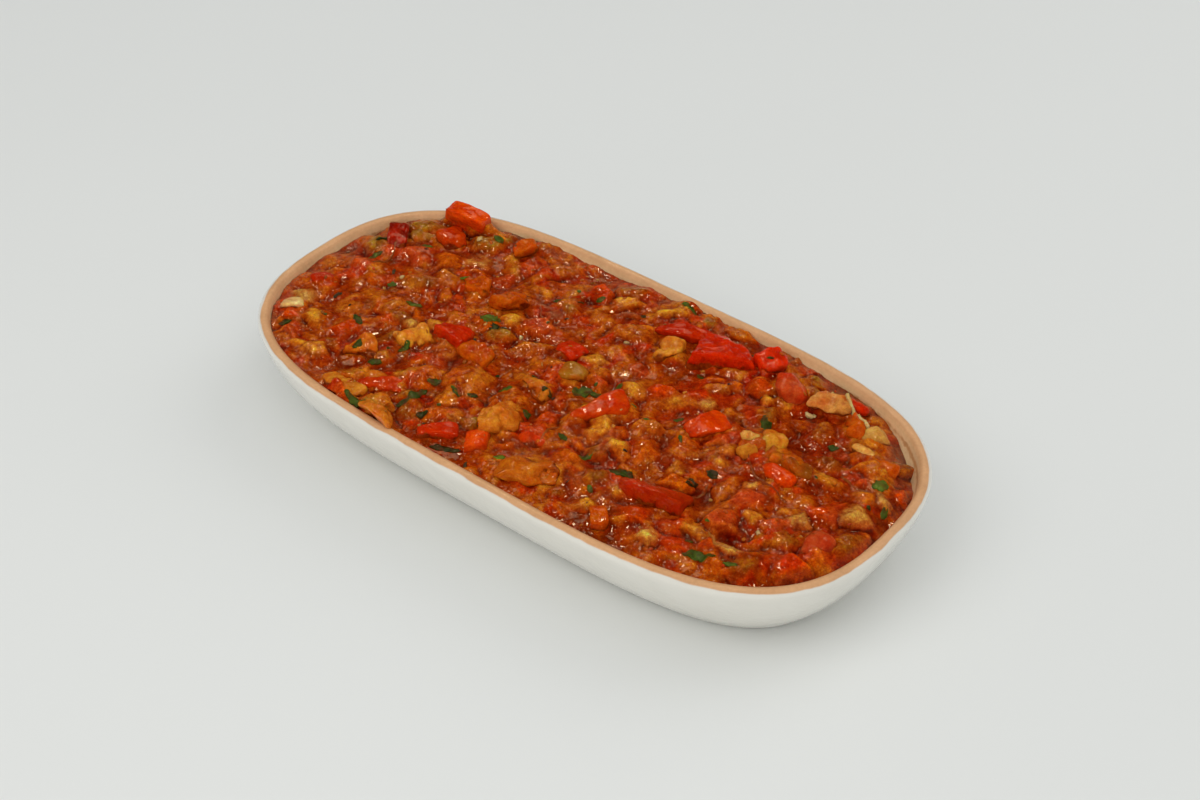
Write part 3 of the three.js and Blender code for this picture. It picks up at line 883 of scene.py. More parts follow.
# The large pieces: node, kind, x, y, length, width, height, rise over the mash, yaw, pitch, roll and tone.
LARGE_CUTS = [
    ("pepper_upright", PEPPER, -87.5, 44.6, 17, 6.4, 7.6, 9.2, 8, 4, 6, BLAZE),
    ("pepper_big_red", PEPPER, 30, 39.5, 22, 12, 7, 4.6, 20, 4, -14, SCARLET),
    ("pepper_big_red_end", PEPPER, 43.6, 46.6, 11, 9, 7, 5.2, 62, 4, 8, SCARLET),
    ("tomato_round_pink", TOMATO, 56.3, 40, 14, 14, 9.5, 4.6, 39, 0, -6, PINK),
    ("eggplant_amber_big", EGGPLANT, 14, -45.6, 23, 13, 10, 4.2, 24, 0, 8, AMBER),
    ("pepper_orange_bent", PEPPER, 16.5, -8.6, 21, 8.5, 6.6, 4.6, 62, -4, 10, FLAME),
    ("eggplant_slab_right", EGGPLANT, 70.5, 9.5, 26, 11, 9, 4.6, -7, 3, -16, ORANGE),
    ("pepper_strip_front", PEPPER, 52.5, -29.5, 24, 6.6, 6, 3.4, 14, 2, -20, BRICK),
    ("eggplant_orange_ridged", EGGPLANT, -46, 18.5, 14, 11.5, 8, 4.2, 80, 4, 0, ORANGE),
    ("eggplant_orange_block", EGGPLANT, -58.6, 18.6, 9, 9.5, 7, 3.6, 36, 0, 0, ORANGE),
    ("pepper_red_fold", PEPPER, -46.8, -8.4, 13, 9, 6.5, 4.2, 8, 6, -10, RED),
    ("pepper_orange_soft", PEPPER, -33.6, -11.6, 12.5, 7.5, 6, 3.4, -12, 6, 0, ORANGE),
    ("eggplant_yellow_lumps", EGGPLANT, -57, -16.6, 13.5, 9.5, 7.5, 3.8, 52, 0, 6, YELLOW),
    ("eggplant_yellow_leafed", EGGPLANT, -67.4, -31.4, 12.5, 9.6, 7, 3.4, 24, 0, 6, AMBER),
    ("eggplant_yellow_lip", EGGPLANT, -42.6, -49.6, 12.6, 7, 6.5, 5.4, -6, -4, 0, YELLOW),
    ("pepper_front_orange", PEPPER, -48.6, -41.6, 17, 6.5, 6, 3.4, 26, 0, 12, FLAME),
    ("eggplant_pale_front", EGGPLANT, -5.6, -31.6, 14, 11, 8, 4.4, 60, 0, 8, YELLOW),
    ("pepper_cube_front", PEPPER, -5.2, -43.8, 8, 7.5, 7, 4, 38, 0, 8, BLAZE),
    ("tomato_long_front", TOMATO, 5.6, -32.4, 12.5, 8, 7, 3.2, 34, 0, 10, FLAME),
    ("onion_round_brown", ONION, -3.2, 1.6, 12, 8.5, 7, 3.4, 27, 0, 0, OLIVE),
    ("eggplant_amber_skin", EGGPLANT, -6.6, -12.4, 12.6, 8, 7.5, 3.6, -22, 0, 8, YELLOW),
    ("pepper_bright_right", PEPPER, 46.6, 6.2, 15, 8, 6, 3.8, 66, 0, 12, FLAME),
    ("eggplant_cube_middle", EGGPLANT, 14, 29.6, 9, 9, 7, 3.6, 22, 0, 6, YELLOW),
    ("eggplant_skin_back", EGGPLANT, 70.6, 42.6, 14, 7, 7, 4.6, 14, -4, 10, PALE),
    ("eggplant_back_right", EGGPLANT, 84.6, 37.2, 14, 10, 7.5, 3.8, -10, 0, 6, ORANGE),
    ("tomato_right", TOMATO, 102.4, -14.6, 12, 10.5, 8, 3.4, 40, 0, 0, PINK),
]

CLEAN_BLOCKS = ("pepper_upright", "pepper_cube_front")

# Pieces with their own look: how much wider at the far end, how knobbly, and how much higher they lie
# than in the solids.
TUNING = {
    "pepper_upright": (0, 1, -1.3),
    "pepper_orange_bent": (0.62, 1, 0.3),
    "pepper_strip_front": (0.35, 1, 0.3),
    "pepper_big_red": (-0.3, 2.6, 0.3),
    "pepper_big_red_end": (0, 2.2, 0),
    "pepper_bright_right": (0.2, 1, 0),
    "pepper_orange_soft": (-0.2, 2.4, 0),
    "pepper_red_fold": (0.15, 2, 0),
    "pepper_front_orange": (0, 1.8, 0),
    "eggplant_amber_big": (0.1, 0.4, 1.5),
    "eggplant_slab_right": (-0.2, 1.4, -0.2),
    "eggplant_pale_front": (0.15, 1.2, 0.2),
    "eggplant_yellow_lumps": (0, 0.9, 0.3),
    "eggplant_skin_back": (0, 0.8, -0.4),
    "onion_round_brown": (0, 0.3, 0.4),
    "tomato_round_pink": (0, 0.3, 1.4),
    "tomato_right": (0, 0.3, 0.6),
}

# The smaller pieces that are fused to the heap's solid: kind, x, y, length, width, height, rise, yaw, tone.
SMALL_CUTS = [
    (EGGPLANT, -100.6, 34.4, 11, 9, 7, 3, 41, OLIVE),
    (PEPPER, -101.6, 22.6, 16, 6, 5, 2.8, 128, DARK_RED),
    (EGGPLANT, -103.6, 15.4, 11.5, 9, 7, 3.2, -20, OLIVE),
    (TOMATO, -104.6, -11.6, 11, 9, 7, 3.4, 50, RED),
    (TOMATO, -100.4, 4.2, 11, 10, 7, 3, 50, PINK),
    (ONION, -103.4, -22.4, 10, 6.5, 5, 3, 25, PALE),
    (TOMATO, -88.6, 19.6, 11.5, 10.5, 7, 3, 30, PINK),
    (EGGPLANT, -79.4, 23.6, 10, 9, 6.5, 2.6, 10, ORANGE),
    (PEPPER, -86.2, 34.2, 9, 8.5, 7, 3.8, 60, FLAME),
    (EGGPLANT, -74.6, 40.4, 11, 9, 7, 3.2, 38, OLIVE),
    (ONION, -76.4, 8.4, 12.5, 8.5, 6, 2.4, 8, BROWN),
    (TOMATO, -92.6, -37.2, 10.5, 6.4, 6, 3, -25, PINK),
    (EGGPLANT, -92.6, -27.8, 8.5, 6.5, 5.5, 2.8, -20, YELLOW),
    (EGGPLANT, -78.8, -41.4, 8, 8, 6, 2.8, 30, YELLOW),
    (TOMATO, -79, -27, 14, 7, 5.5, 2.4, 70, FLAME),
    (EGGPLANT, -60.4, -43.2, 13, 5.6, 5, 2.8, 38, YELLOW),
    (EGGPLANT, -32.6, -44.2, 9, 8.6, 6, 2.8, 55, BROWN),
    (EGGPLANT, -24.8, -39.4, 9, 8, 6, 2.4, 50, ORANGE),
    (PEPPER, -19, -47.2, 13, 6, 5, 2.8, 36, RED),
    (EGGPLANT, 21.6, -33, 10, 9, 7, 3.6, 0, ORANGE),
    (EGGPLANT, 20.4, -15.6, 9.5, 8, 6, 3.2, 70, YELLOW),
    (EGGPLANT, 30.6, -18.4, 11.5, 6.4, 6, 3.2, -30, YELLOW),
    (EGGPLANT, 32, -5.4, 9, 8, 6, 2.8, 48, AMBER),
    (EGGPLANT, 38.4, -14.6, 9, 8, 6, 2.8, 46, ORANGE),
    (EGGPLANT, 46.6, -5.6, 9, 9, 6, 2.6, 40, ORANGE),
    (EGGPLANT, 18.4, 6.4, 8, 7.4, 5.5, 2.8, 20, YELLOW),
    (TOMATO, 53.4, -38, 11.5, 8.6, 6.5, 2.8, 36, FLAME),
    (PEPPER, 46.4, -47, 8, 5.4, 6, 3.2, 130, ORANGE),
    (EGGPLANT, 61.6, -44, 7, 6.4, 5.5, 2.8, 14, PALE),
    (TOMATO, 75, -25.6, 10, 8, 6.5, 3, 76, PINK),
    (TOMATO, 76, -12.6, 11.6, 8.6, 6.5, 3.2, 42, PINK),
    (EGGPLANT, 67.4, -11.4, 9, 6.5, 6, 3, 80, AMBER),
    (EGGPLANT, 90.6, -35.6, 11.5, 8, 6.5, 2.8, 34, BROWN),
    (TOMATO, 101.8, -27.2, 8, 6.4, 6, 2.8, 44, RED),
    (TOMATO, 95.4, -3.2, 10, 8.4, 6, 3, 50, FLAME),
    (ONION, 104.4, 3, 8.4, 7.4, 6, 3.2, 34, PALE),
    (EGGPLANT, 97.4, 24.2, 8.4, 7, 5.5, 3, 44, AMBER),
    (EGGPLANT, 89, 9.6, 8.4, 6, 5.5, 2.8, 32, YELLOW),
    (PEPPER, 11.4, 41.6, 16, 6, 5, 2.8, 15, RED),
    (EGGPLANT, 0, 48, 11, 7.6, 7, 3.6, 48, YELLOW),
    (TOMATO, -24.6, 41.8, 9, 9, 7, 3.2, 32, RED),
    (EGGPLANT, -17.6, 49, 10.5, 9, 7, 3, 42, BROWN),
    (EGGPLANT, -16.4, 31, 8, 10, 6, 2.4, 30, AMBER),
    (EGGPLANT, -37.6, 35.2, 10, 9, 6, 2.4, 38, ORANGE),
    (EGGPLANT, -45.4, 45, 13, 9, 6.5, 2.6, 26, AMBER),
    (PEPPER, -63.4, 47.4, 9, 6, 6, 3.2, 60, ORANGE),
    (EGGPLANT, -3, 29.6, 15, 9, 6.5, 2.8, 19, AMBER),
    (EGGPLANT, -21.4, 2.4, 13, 7.4, 6, 2.8, 27, AMBER),
    (PEPPER, -12.6, 9.6, 9, 7, 5.5, 2.8, -8, RED),
    (TOMATO, 24.6, 11, 9.6, 8.6, 6, 2.4, 32, FLAME),
]

# Smaller pieces still, which only the scene has, in the same columns.
EXTRA_CUTS = [
    (EGGPLANT, -103.5, -4.5, 9, 7, 5, 1.8, 10, AMBER),
    (EGGPLANT, -92, -1, 7.6, 6.5, 5, 2.2, 60, ORANGE),
    (EGGPLANT, -65, 7.4, 8, 4.4, 4, 2.2, -37, AMBER),
    (PEPPER, -100.5, -31.5, 8, 5, 4, 2, 70, FLAME),
    (EGGPLANT, -84.5, -18.5, 9, 6, 5, 2.2, 70, AMBER),
    (EGGPLANT, -75.5, -11, 8, 5, 4, 2, -12, AMBER),
    (EGGPLANT, -63.5, -11.6, 5.4, 4.6, 4, 2.6, 0, PALE),
    (EGGPLANT, -55.4, -6.4, 6.4, 6, 5, 2.6, 40, YELLOW),
    (PEPPER, -29, -48, 6.5, 4.4, 4, 2, 40, RED),
    (PEPPER, -13.4, -43.4, 6, 6.5, 5, 2.2, 36, DARK_RED),
    (EGGPLANT, -13.6, -37.6, 6, 4.6, 4, 2, 30, OLIVE),
    (EGGPLANT, -11.6, -21.4, 9.6, 7.4, 5, 2.6, 84, AMBER),
    (EGGPLANT, -31, -22.4, 8.6, 8, 5, 2, 45, ORANGE),
    (EGGPLANT, -22.4, -27.4, 8.4, 6.4, 5, 2, 40, AMBER),
    (EGGPLANT, 35, -33.4, 8, 7.4, 5, 2.2, 22, BROWN),
    (EGGPLANT, 26.6, -23, 7.8, 6.4, 5, 2, 8, BROWN),
    (EGGPLANT, 54.6, -20.2, 9, 5.4, 5, 2.8, -8, ORANGE),
    (EGGPLANT, 38, -44.4, 6, 6.4, 5, 2.2, 39, YELLOW),
    (EGGPLANT, 51.4, -43.2, 5.6, 5.4, 4, 2.2, 47, AMBER),
    (TOMATO, 69.4, -41.2, 9.4, 5.4, 4.4, 2.2, 17, RED),
    (EGGPLANT, 65, -36.4, 5.4, 5, 4, 2.2, 39, ORANGE),
    (EGGPLANT, 70.8, -32.4, 8, 4.6, 4, 2.4, -7, YELLOW),
    (EGGPLANT, 73.6, -7.6, 4.4, 3.4, 3.4, 2.8, 18, PALE),
    (TOMATO, 88.4, -16.2, 6.6, 5, 4.4, 2.8, 72, PINK),
    (TOMATO, 89, -24, 6.6, 4.2, 4, 2.2, 64, RED),
    (EGGPLANT, 94.6, -19.6, 7, 7, 5, 2.4, 57, OLIVE),
    (EGGPLANT, 92.8, -10.8, 5.6, 5, 4, 2.2, 31, PALE),
    (EGGPLANT, 84.2, -41.4, 5, 5.4, 5, 2.2, 49, ORANGE),
    (ONION, 83.4, -33.2, 9.4, 2.6, 3, 2.2, 11, PALE),
    (EGGPLANT, 106.6, -20.8, 7.6, 5, 4.4, 2, 34, ORANGE),
    (EGGPLANT, 109, -8.4, 11, 6.4, 5, 2, 79, BROWN),
    (TOMATO, 98.6, -1.4, 5.6, 7, 5, 2.6, 23, PINK),
    (ONION, 102.4, 10.8, 6.8, 7, 5, 2.6, 39, AMBER),
    (EGGPLANT, 107.2, 14.2, 7, 3.4, 4, 2.8, -22, PALE),
    (TOMATO, 53.4, 4.2, 6.4, 5.6, 4.6, 2.6, 61, PINK),
    (EGGPLANT, 55.2, -2.8, 5.6, 6, 4.6, 2, 48, BROWN),
    (TOMATO, 72.6, 1.6, 15, 5.4, 4.6, 2.2, -2, DARK_RED),
    (PEPPER, 48.4, 33.4, 8, 7, 5, 3.2, 71, FLAME),
    (EGGPLANT, 53, 30.4, 4.6, 4, 4, 3, 50, YELLOW),
    (EGGPLANT, 59.4, 48.4, 7, 6, 4.6, 2.6, 32, OLIVE),
    (EGGPLANT, 62, 44.2, 7, 3.6, 4, 2.4, -19, BROWN),
    (ONION, -9.8, 37.6, 7, 2.4, 3, 2, 31, PURPLE),
    (EGGPLANT, 4, 50.4, 6, 6.6, 5, 3.2, 57, YELLOW),
    (EGGPLANT, 13.4, 52, 5.4, 4.6, 4, 2.4, 28, OLIVE),
    (EGGPLANT, -14.6, 44, 8, 5, 4.6, 2.6, 52, YELLOW),
    (TOMATO, -55, 43, 6.6, 7, 5, 2.4, 30, DARK_RED),
    (ONION, -34, 23.4, 9.4, 2.2, 3, 2, 2, PURPLE),
    (ONION, -28.6, 22.6, 7.4, 4.4, 4, 2, 30, PURPLE),
    (EGGPLANT, -36, 1.4, 7.6, 7.4, 5, 2.4, 85, OLIVE),
    (TOMATO, 5.2, 27.4, 7.4, 6.6, 4.4, 2, 53, RED),
    (TOMATO, -72, -14, 6, 5, 4, 2, 20, FLAME),
    (TOMATO, -61, 2, 8, 6, 4, 1.8, 10, DARK_RED),
    (EGGPLANT, 38, 24, 9, 6, 4.4, 2, 30, AMBER),
    (TOMATO, 34.4, 17.4, 8.6, 7, 4.4, 2, 30, RED),
    (EGGPLANT, 26, 53.4, 9, 4, 4, 2, 10, AMBER),
    (EGGPLANT, 90.4, 28.4, 8, 6, 4.4, 2.2, 20, ORANGE),
    (EGGPLANT, 84, 19, 7, 5, 4, 2, -20, BROWN),
    (TOMATO, 108, 22, 6, 5, 4, 1.8, 60, FLAME),
]

# Lumps that stand clear of the pulp, on top of the large pieces or beside them.
TOP_CUTS = [
    (EGGPLANT, 66, 12.4, 10, 8.5, 7, 5.2, -12, YELLOW),
    (EGGPLANT, 72.4, 9.8, 9, 7.5, 7, 5, 40, AMBER),
    (EGGPLANT, 80.4, 8.2, 10, 8, 7, 4.4, 28, BROWN),
    (EGGPLANT, 60.4, 9.8, 5.6, 4.2, 4, 4.9, 10, PALE),
    (EGGPLANT, 64.2, 3.6, 5.6, 4.4, 4, 4.2, 60, YELLOW),
    (TOMATO, 76.6, 1.6, 12, 7, 6, 4.2, -8, FLAME),
    (EGGPLANT, 88.9, 10.2, 9.5, 5, 4.5, 3.6, 8, YELLOW),
    (EGGPLANT, 89.4, 37.4, 8.5, 6.4, 5, 3, 62, PALE),
    (EGGPLANT, 90.2, 30.4, 7.4, 4.2, 4, 3, -15, PALE),
    (EGGPLANT, 98.4, 25.8, 9, 6.6, 5, 2.6, 30, ORANGE),
    (TOMATO, 76.6, 47.2, 9, 4.4, 4, 2.8, -12, RED),
    (EGGPLANT, -52.4, -39.6, 9, 6, 5, 3.2, 40, AMBER),
    (EGGPLANT, -57.2, -49.2, 15, 6, 5, 4.2, -4, YELLOW),
    (EGGPLANT, -38.4, -53.4, 14, 5.8, 5, 5.2, -7, YELLOW),
    (TOMATO, -104.8, -11.8, 10, 8, 6, 3.2, 50, RED),
    (ONION, -103.8, -27.4, 9, 6, 5, 3.2, 39, CREAM),
    (EGGPLANT, -96.6, 31, 13, 9, 7, 3.4, 30, OLIVE),
]


@dataclass
class MashLevel:
    """The level of the mash: low at its edge, heaped in the middle, with wet hollows in which the skin is
    also painted darker as painted shade.
    """

    edge: float = 26.2
    heap: float = 2.6
    ripple: float = 0.35
    end_power: int = 3
    side_power: float = 2.4
    hollows: tuple = (
        # x, y, radius, depth
        (73, 24, 14, 3.0), (64, -17, 8, 1.8), (-60, 29, 10, 1.4), (104, 26, 26, 1.2),
        (-38, 48, 24, 0.9), (12, -2, 7, 1.2), (84, -26, 7, 1.4),
    )

    def at(self, x: float, y: float) -> float:
        """Height over a point of the plan.

        Args:
            x: the point along the dish.
            y: the point across it.

        Returns:
            The height above the table.
        """
        away = (abs(x) / PLAN.half_length) ** self.end_power + (abs(y) / PLAN.half_width) ** self.side_power
        height = self.edge + self.heap * max(0.0, 1 - away)
        height += self.ripple * (math.sin(x * 0.31 + y * 0.11) + math.sin(y * 0.37 - x * 0.13))
        return height - self.hollow(x, y)

    def hollow(self, x: float, y: float) -> float:
        """How far the hollows dip under a point.

        Args:
            x: the point along the dish.
            y: the point across it.

        Returns:
            The depth of all hollows together.
        """
        dip = 0.0
        for hollow_x, hollow_y, radius, depth in self.hollows:
            away = math.hypot(x - hollow_x, y - hollow_y) / radius
            dip += depth * math.exp(-away * away)
        return dip


class CounterRandom:
    """The same small random source as the part's solids use."""

    FACTOR = 16807
    RANGE = 2147483647

    def __init__(self, seed: int) -> None:
        """Start from a seed."""
        self.state = seed

    def next(self) -> float:
        """The next number between 0 and 1."""
        self.state = (self.state * self.FACTOR) % self.RANGE
        return self.state / self.RANGE


def smooth_step(value: float, low: float, high: float) -> float:
    """A smooth step from 0 at low to 1 at high."""
    share = min(1.0, max(0.0, (value - low) / (high - low)))
    return share * share * (3 - 2 * share)


def filleted(first: float, second: float, fillet: float) -> float:
    """The larger of two heights, with a soft fillet where they meet."""
    gap = max(0.0, 1 - abs(first - second) / fillet)
    return max(first, second) + fillet * 0.25 * gap * gap


def patches(x: float, y: float, waves: float, layer: float) -> float:
    """Smooth chance from -1 to 1 over a plan point, with so many waves in a millimetre."""
    return noise.noise(Vector((x * waves, y * waves, layer)))


def folds(spot: Vector, size: float) -> float:
    """Puffed, folded relief whose largest folds measure size: 0 in the creases, about 1 on top."""
    return 1.7 * noise.turbulence(spot / size, 2, True, amplitude_scale=0.52, frequency_scale=1.95)


def drift(spot: Vector) -> Vector:
    """A smooth chance shift of a point, each way from -1 to 1."""
    return Vector([noise.noise(spot + Vector((0, 0, layer))) for layer in (0.0, 11.3, 23.9)])


def swirl(x: float, y: float, size: float, layer: float) -> tuple[float, float]:
    """A smooth chance shift of a plan point, each way from -1 to 1."""
    spot = Vector((x / size, y / size, layer))
    return noise.noise(spot), noise.noise(spot + Vector((0, 0, 17.3)))


def chance_spot(rng: random.Random, half_x: float, half_y: float, inset: float) -> tuple[float, float]:
    """A chance point of the plan inside the rim's outline drawn in by inset.

    Args:
        rng: the random source, which gives as many pairs as it takes.
        half_x: the most that the point lies along the dish, each way.
        half_y: the most that it lies across it, each way.
        inset: how far the outline is drawn in.

    Returns:
        The point's x and y.
    """
    while True:
        x, y = rng.uniform(-half_x, half_x), rng.uniform(-half_y, half_y)
        if PLAN.reach(x, y, inset) < 1:
            return x, y


# The shifts of plan points by chance: their size in millimetres, and the layer of the noise.
BROAD_SWIRL = (7.0, 1.0)
TIGHT_SWIRL = (2.6, 5.0)
# The patterns of chance in the pulp: waves in a millimetre, and the layer of the noise.
CLUMPS = (0.052, 5.0)
GRAIN = (0.55, 8.0)
FINE_GRAIN = (1.2, 8.0)
HUES = (0.105, 31.0)
RED_FIELDS = (0.085, 47.0)
RED_SPOTS = (0.17, 53.0)
PALE_SPOTS = (0.14, 71.0)
POOLS = (0.05, 61.0)
POOL_RIPPLES = (0.4, 9.0)
# How deep under the sauce's level the skin glows, and how deep it is covered.
GLOW_DEPTHS = (-1.9, -0.2)
WET_DEPTHS = (-0.4, 1.0)


@dataclass(frozen=True)
class SkinSpot:
    """A point of the pulp's skin, with what all steps of its making share."""

    x: float
    y: float
    wide_x: float
    wide_y: float
    level: float
    bank: float
    fine: float
    hue: float


@dataclass
class Heap:
    """All the food: where the pulp's skin lies, and every piece that lies in it."""

    level: MashLevel = field(default_factory=MashLevel)
    filler_pitch: float = 14.0
    filler_seed: int = 4711
    filler_jitter: float = 0.7
    filler_height: float = 6.5
    picture_filler_seed: int = 52
    picture_filler_tries: int = 170
    soft_swell: float = 1.28
    hard_swell: float = 1.1
    cell: int = 10
    core_drop: float = 0.1
    clumping: float = 1.5
    bank: float = 1.5
    fold_size: float = 13.0
    lump_fold_size: float = 7.5
    foot_reach: float = 1.9
    pulp_sway: tuple[float, float] = (2.6, 0.5)
    piece_sway: tuple[float, float] = (1.2, 0.25)
    tear: float = 0.16
    sauce_rise: float = -0.35

    def __post_init__(self) -> None:
        """Make the pieces of the tables and the fillers, and note where each may reach."""
        self.large = [Cut(kind, *places, tone, node, False,
                          0 if node in CLEAN_BLOCKS else 2 if kind is PEPPER else 5,
                          *TUNING.get(node, (0.0, 1.0, 0.0)))
                      for node, kind, *places, tone in LARGE_CUTS]
        self.small = [Cut(kind, *places, tone=tone, soft=kind is not PEPPER, trims=2)
                      for kind, *places, tone in SMALL_CUTS]
        self.extra = [Cut(*row, tone=tone, soft=True) for *row, tone in EXTRA_CUTS]
        self.extra += [Cut(*row, tone=tone, trims=3, knobs=0.5) for *row, tone in TOP_CUTS]
        self.fillers = self._source_fillers() + self._picture_fillers()
        for cut in self.small + self.extra + self.fillers:
            cut.length *= self.soft_swell if cut.soft else self.hard_swell
            cut.width *= self.soft_swell if cut.soft else self.hard_swell
        self.near: dict[tuple[int, int], list[Cut]] = {}
        for cut in self.large + self.small + self.extra + self.fillers:
            self._file(cut)

    def _file(self, cut: Cut) -> None:
        """Note a piece in each cell of the plan that it may reach."""
        reach = cut.length / 2 + 5
        columns, rows = (range(int((middle - reach) // self.cell), int((middle + reach) // self.cell) + 1)
                         for middle in (cut.x, cut.y))
        for column in columns:
            for row in rows:
                self.near.setdefault((column, row), []).append(cut)

    def _source_fillers(self) -> list[Cut]:
        """The filler lumps of the part's solids, drawn in the same order.

        Returns:
            The lumps, which fill a jittered grid wherever no listed piece lies.
        """
        source = CounterRandom(self.filler_seed)
        listed = self.large + self.small
        tones = (AMBER, ORANGE, YELLOW, BROWN, ORANGE, PINK, AMBER)
        cuts: list[Cut] = []
        for column in range(-8, 9):
            for row in range(-4, 5):
                x = (column + self.filler_jitter * (source.next() - 0.5)) * self.filler_pitch
                y = (row + self.filler_jitter * (source.next() - 0.5)) * self.filler_pitch
                length = 7 + 4.5 * source.next()
                width = length * (0.65 + 0.3 * source.next())
                rise = 0.9 + 1.5 * source.next()
                yaw = 180 * source.next()
                blocked = any(math.hypot(x - cut.x, y - cut.y) < 0.62 * (cut.length + width) / 2 + 1.5
                              for cut in listed)
                if PLAN.reach(x, y, 9) < 1 and not blocked:
                    cuts.append(Cut(EGGPLANT, x, y, length, width, self.filler_height, rise, yaw,
                                    tone=tones[(len(cuts) * 5) % len(tones)], soft=True))
        return cuts

    def _picture_fillers(self) -> list[Cut]:
        """Smaller lumps that close the gaps between all the others.

        Returns:
            The lumps, each clear of the pieces and of the lumps before it.
        """
        rng = random.Random(self.picture_filler_seed)
        tones = (AMBER, ORANGE, YELLOW, FLAME, BROWN, PALE, ORANGE, RED, AMBER, OLIVE, PINK, ORANGE)
        cuts: list[Cut] = []
        taken = self.large + self.small + self.extra
        for _ in range(self.picture_filler_tries):
            x, y = rng.uniform(-114, 114), rng.uniform(-54, 54)
            length = rng.uniform(6.0, 14.0)
            width = length * rng.uniform(0.45, 0.9)
            clear = all(math.hypot(x - cut.x, y - cut.y) > 0.40 * (cut.length + cut.width) / 2 + 0.34 * length
                        for cut in taken + cuts)
            if clear and PLAN.reach(x, y, 6.5) < 1:
                height, rise, yaw = rng.uniform(3.4, 5.6), rng.uniform(0.4, 1.8), rng.uniform(0, 180)
                cuts.append(Cut(EGGPLANT, x, y, length, width, height, rise, yaw,
                                tone=rng.choice(tones), soft=True))
        return cuts

    def rim_rise(self, x: float, y: float) -> float:
        """How much higher the food stands against the wall.

        Args:
            x: the point along the dish.
            y: the point across it.

        Returns:
            The rise, which is below 0 at the right end, where the food has sunk away from the wall.
        """
        end = 1 - 3.2 * smooth_step(x, 78.0, 106.0) - 0.9 * smooth_step(-x, 92.0, 110.0)
        end -= 0.9 * smooth_step(y, 20.0, 44.0) * smooth_step(x, 20.0, 60.0)
        return end * self.bank * smooth_step(PLAN.reach(x, y, 3.0), 0.62, 0.98)

    def skin(self, x: float, y: float) -> tuple[float, Vector, float]:
        """The pulp's skin over a plan point.

        Args:
            x: the point along the dish.
            y: the point across it.

        Returns:
            Its height, its colour and how far the sauce covers it, from 0 to 1.
        """
        broad_x, broad_y = swirl(x, y, *BROAD_SWIRL)
        tight_x, tight_y = swirl(x, y, *TIGHT_SWIRL)
        broad, tight = self.pulp_sway
        wide_x, wide_y = x + broad * broad_x + tight * tight_x, y + broad * broad_y + tight * tight_y
        spot = SkinSpot(x, y, wide_x, wide_y, self.level.at(x, y), self.rim_rise(x, y),
                        0.5 + patches(x, y, *GRAIN) + 0.5 * patches(x, y, *FINE_GRAIN),
                        patches(wide_x, wide_y, *HUES))
        base = self._pulp_height(spot)
        height, colour = base, self._pulp_colour(spot)
        broad, tight = self.piece_sway
        for cut in self.near.get((int(x // self.cell), int(y // self.cell)), ()):
            u, v = cut.local(x + broad * broad_x + tight * tight_x, y + broad * broad_y + tight * tight_y)
            span = math.hypot(u, v)
            if span > self.foot_reach:
                continue
            if cut.soft and span > 0.05:
                torn = noise.noise(Vector((u / span * 1.6, v / span * 1.6, cut.x)))
                span = cut.span(u, v) / (1.0 + self.tear * torn)
            if span < self.foot_reach and cut.rise > 1.5:
                climb = 1 - smooth_step(span, 0.7, self.foot_reach)
                height = filleted(height, base + cut.rise * 0.5 * climb, 1.0)
            if cut.soft and span < 1.0:
                height, colour = self._with_lump(spot, cut, (u, v), span, height, colour)
        return self._with_sauce(spot, height, colour)

    def _pulp_height(self, spot: SkinSpot) -> float:
        """Height of the pulp with no pieces in it.

        Args:
            spot: the point.

        Returns:
            The height above the table.
        """
        clump = patches(spot.x, spot.y, *CLUMPS)
        puff = folds(Vector((spot.wide_x, spot.wide_y, 2.0)), self.fold_size)
        relief = (0.7 + 0.4 * clump) * (2.4 * puff - 1.7) + 0.28 * (spot.fine - 0.5)
        return spot.level - self.core_drop + self.clumping * clump + spot.bank + relief

    @staticmethod
    def _pulp_colour(spot: SkinSpot) -> Vector:
        """Colour of the pulp with no pieces in it: amber and rust fields with red and yellow spots.

        Args:
            spot: the point.

        Returns:
            The linear colour.
        """
        x, y = spot.wide_x, spot.wide_y
        redness = max(smooth_step(patches(x, y, *RED_FIELDS), 0.05, 0.32),
                      smooth_step(patches(x, y, *RED_SPOTS), 0.2, 0.45))
        pallor = smooth_step(patches(x, y, *PALE_SPOTS), 0.15, 0.45)
        colour = vector_of(GLOW).lerp(vector_of(AMBER), smooth_step(spot.hue, -0.35, 0.25))
        colour = colour.lerp(vector_of(RUST), 0.7 * smooth_step(-spot.hue, 0.15, 0.45))
        return colour.lerp(vector_of(YELLOW), 0.7 * pallor).lerp(vector_of(RED), 0.8 * redness)

    def _with_lump(self, spot: SkinSpot, cut: Cut, place: tuple[float, float], span: float,
                   height: float, colour: Vector) -> tuple[float, Vector]:
        """Let a soft piece stand out of the pulp's skin.

        Args:
            spot: the point.
            cut: the soft piece.
            place: the point in the piece's own half sizes.
            span: how far out it lies on the piece, from 0 to 1.
            height: the skin's height without the piece.
            colour: its colour without the piece.

        Returns:
            The height and the colour with the piece.
        """
        own = folds(Vector((spot.wide_x, spot.wide_y, cut.x)), self.lump_fold_size)
        lump = self.level.at(cut.x, cut.y) + cut.rise - cut.height / 2 + 0.5 * spot.bank
        lump += cut.height / 2 * max(0.0, cut.faces(*place))
        lump += cut.kind.knob * (0.9 * (own - 0.5) + 0.7 * (spot.fine - 0.5))
        share = smooth_step(lump - height, -1.0, 0.8)
        veil = smooth_step(patches(spot.x, spot.y, 0.3, cut.x), -0.1, 0.6)
        bare = smooth_step(1 - span + 0.25 * veil - 0.12, 0.0, 0.5)
        # Painted shade and glow: the flesh turns to the deeper GLOW tone in the creases of its folds, and the
        # skin turns to GLOW towards the outline.
        flesh = vector_of(cut.tone).lerp(vector_of(GLOW), 0.6 * veil + 0.3 * (1 - min(1.0, own)))
        colour = colour.lerp(vector_of(GLOW), 0.6 * share).lerp(flesh, share * (0.25 + 0.75 * bare))
        return filleted(height, lump, 1.7), colour

